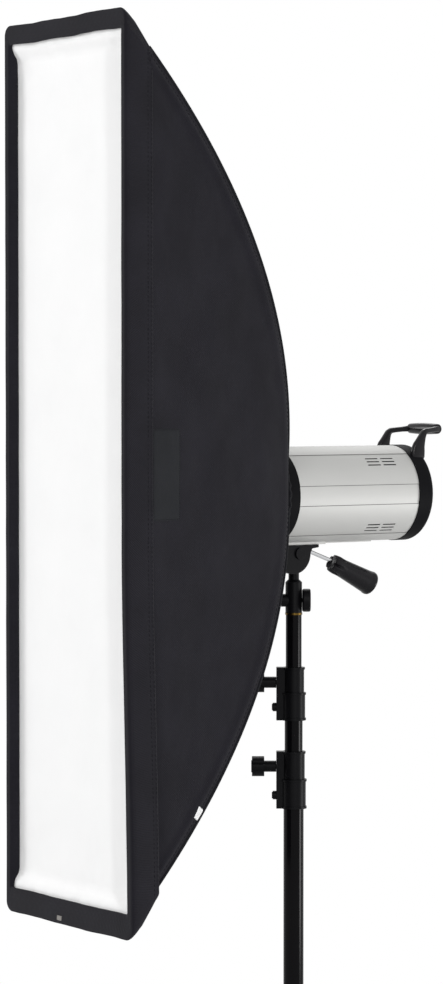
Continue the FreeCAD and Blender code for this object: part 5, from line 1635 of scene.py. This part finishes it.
# ---------------------------------------------------------------- studio
@dataclass
class Studio:
    """Camera, lamps, floor and surround."""

    axis_z: float
    azimuth: float = 55.5
    elevation: float = 1.98
    distance: float = 4.598
    target_y: float = -0.1214
    target_rise: float = 0.0062
    lens: float = 123.37
    floor_r: float = 14.0
    shadow_r: float = 0.9
    white_r: float = 2.1
    world: float = 0.42

    def camera(self) -> None:
        """Stand the camera where the view of the front and the right side comes from."""
        a, e = math.radians(self.azimuth), math.radians(self.elevation)
        back = Vector((math.sin(a) * math.cos(e), -math.cos(a) * math.cos(e), math.sin(e)))
        data = bpy.data.cameras.new("camera")
        data.lens = self.lens
        data.sensor_width = 36.0
        data.clip_end = 100.0
        obj = new_object("camera", data)
        target = Vector((0, self.target_y, self.axis_z + self.target_rise))
        obj.location = target + back * self.distance
        obj.rotation_mode = "QUATERNION"
        obj.rotation_quaternion = (-back).to_track_quat("-Z", "Y")
        bpy.context.scene.camera = obj

    def lamp(self, name: str, place: tuple[float, float, float], size: tuple[float, float],
             power: float) -> None:
        """Hang one soft lamp that faces the middle of the object.

        Args:
            name: Name of the lamp.
            place: Where it hangs.
            size: Width and height.
            power: Watts.
        """
        data = bpy.data.lights.new(name, "AREA")
        data.shape = "RECTANGLE"
        data.size, data.size_y = size
        data.energy = power
        obj = new_object(name, data)
        obj.location = place
        aim = Vector((0, -0.1, self.axis_z)) - obj.location
        obj.rotation_mode = "QUATERNION"
        obj.rotation_quaternion = aim.to_track_quat("-Z", "Y")

    def seen(self, tree: Tree) -> Socket:
        """Tell camera, glossy and transmission rays from the others.

        Args:
            tree: Node tree.

        Returns:
            1 for those rays.
        """
        path = add(tree, "ShaderNodeLightPath")
        two = calc(tree, "MAXIMUM", path.outputs["Is Camera Ray"], path.outputs["Is Glossy Ray"])
        return calc(tree, "MAXIMUM", two, path.outputs["Is Transmission Ray"])

    def surround(self) -> None:
        """Light the room evenly, and show it white."""
        world = bpy.data.worlds.new("room")
        bpy.context.scene.world = world
        world.use_nodes = True
        tree = world.node_tree
        tree.nodes.clear()
        white = (1.0, 1.0, 1.0, 1.0)
        lit = add(tree, "ShaderNodeBackground", None, {0: white, 1: self.world})
        shown = add(tree, "ShaderNodeBackground", None, {0: white, 1: 1.0})
        mixed = add(tree, "ShaderNodeMixShader", None,
                    {0: self.seen(tree), 1: lit.outputs[0], 2: shown.outputs[0]})
        add(tree, "ShaderNodeOutputWorld", None, {0: mixed.outputs[0]})

    def floor(self) -> None:
        """Lay a pale floor that keeps the shadow near the stand and turns white further off."""
        steps = 96
        r, turns = self.floor_r, [2 * math.pi * k / steps for k in range(steps)]
        verts = [(0, 0, 0)] + [(r * math.cos(a), r * math.sin(a), 0) for a in turns]
        faces = [(0, 1 + k, 1 + (k + 1) % steps) for k in range(steps)]
        mesh = bpy.data.meshes.new("floor")
        mesh.from_pydata(verts, [], faces)
        mat, tree = new_material("pale_floor")
        tree.nodes.clear()
        place = add(tree, "ShaderNodeTexCoord").outputs["Object"]
        far = add(tree, "ShaderNodeVectorMath", {"operation": "LENGTH"}, {0: place})
        ramp = add(tree, "ShaderNodeMapRange", {"interpolation_type": "SMOOTHSTEP"},
                   {0: far.outputs[1], 1: self.shadow_r, 2: self.white_r})
        share = calc(tree, "MULTIPLY", ramp.outputs[0], self.seen(tree))
        speck = add(tree, "ShaderNodeTexNoise", None, {"Vector": place, "Scale": 90.0})
        pale = blend(tree, speck.outputs[0], linear("EFEFEF"), linear("EBEBEB"))
        matt = add(tree, "ShaderNodeBsdfDiffuse", None, {0: pale})
        glow = add(tree, "ShaderNodeEmission", None, {0: (1.0, 1.0, 1.0, 1.0), 1: 1.0})
        mixed = add(tree, "ShaderNodeMixShader", None,
                    {0: share, 1: matt.outputs[0], 2: glow.outputs[0]})
        add(tree, "ShaderNodeOutputMaterial", None, {0: mixed.outputs[0]})
        mesh.materials.append(mat)
        new_object("floor", mesh)

    def build(self) -> None:
        """Set the studio up."""
        self.camera()
        self.surround()
        self.floor()
        self.lamp("key_lamp", (2.2, -3.4, 3.4), (1.6, 1.6), 45)
        self.lamp("strip_lamp", (3.36, -1.1, 2.05), (0.2, 1.9), 46)
        self.lamp("fill_lamp", (-3.0, -2.6, 2.0), (1.4, 2.0), 58)
        self.lamp("top_lamp", (-1.9, 1.7, 3.3), (1.5, 1.5), 26)
        self.lamp("low_lamp", (1.5, 1.8, 0.45), (0.7, 0.7), 20)
        bpy.context.scene.view_settings.view_transform = "Standard"
        LOG.info("studio set up")


def main() -> None:
    """Build every class in order and report it."""
    logging.basicConfig(level=logging.INFO, format="%(name)s: %(message)s")
    growth = Growth()
    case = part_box("body_shell")
    axis_z = (case[0].z + case[1].z) / 2
    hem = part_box("front_hem")
    form = ClothForm(hem[0].y, (hem[0].z + hem[1].z) / 2, axis_z)
    Studio(axis_z).build()
    dress_nodes()
    SoftboxCloth(form, growth).build()
    SoftboxFront(form, growth).build()
    HeadDetails(growth).build()
    LOG.info("done, sizes written")


if __name__ == "__main__":
    main()
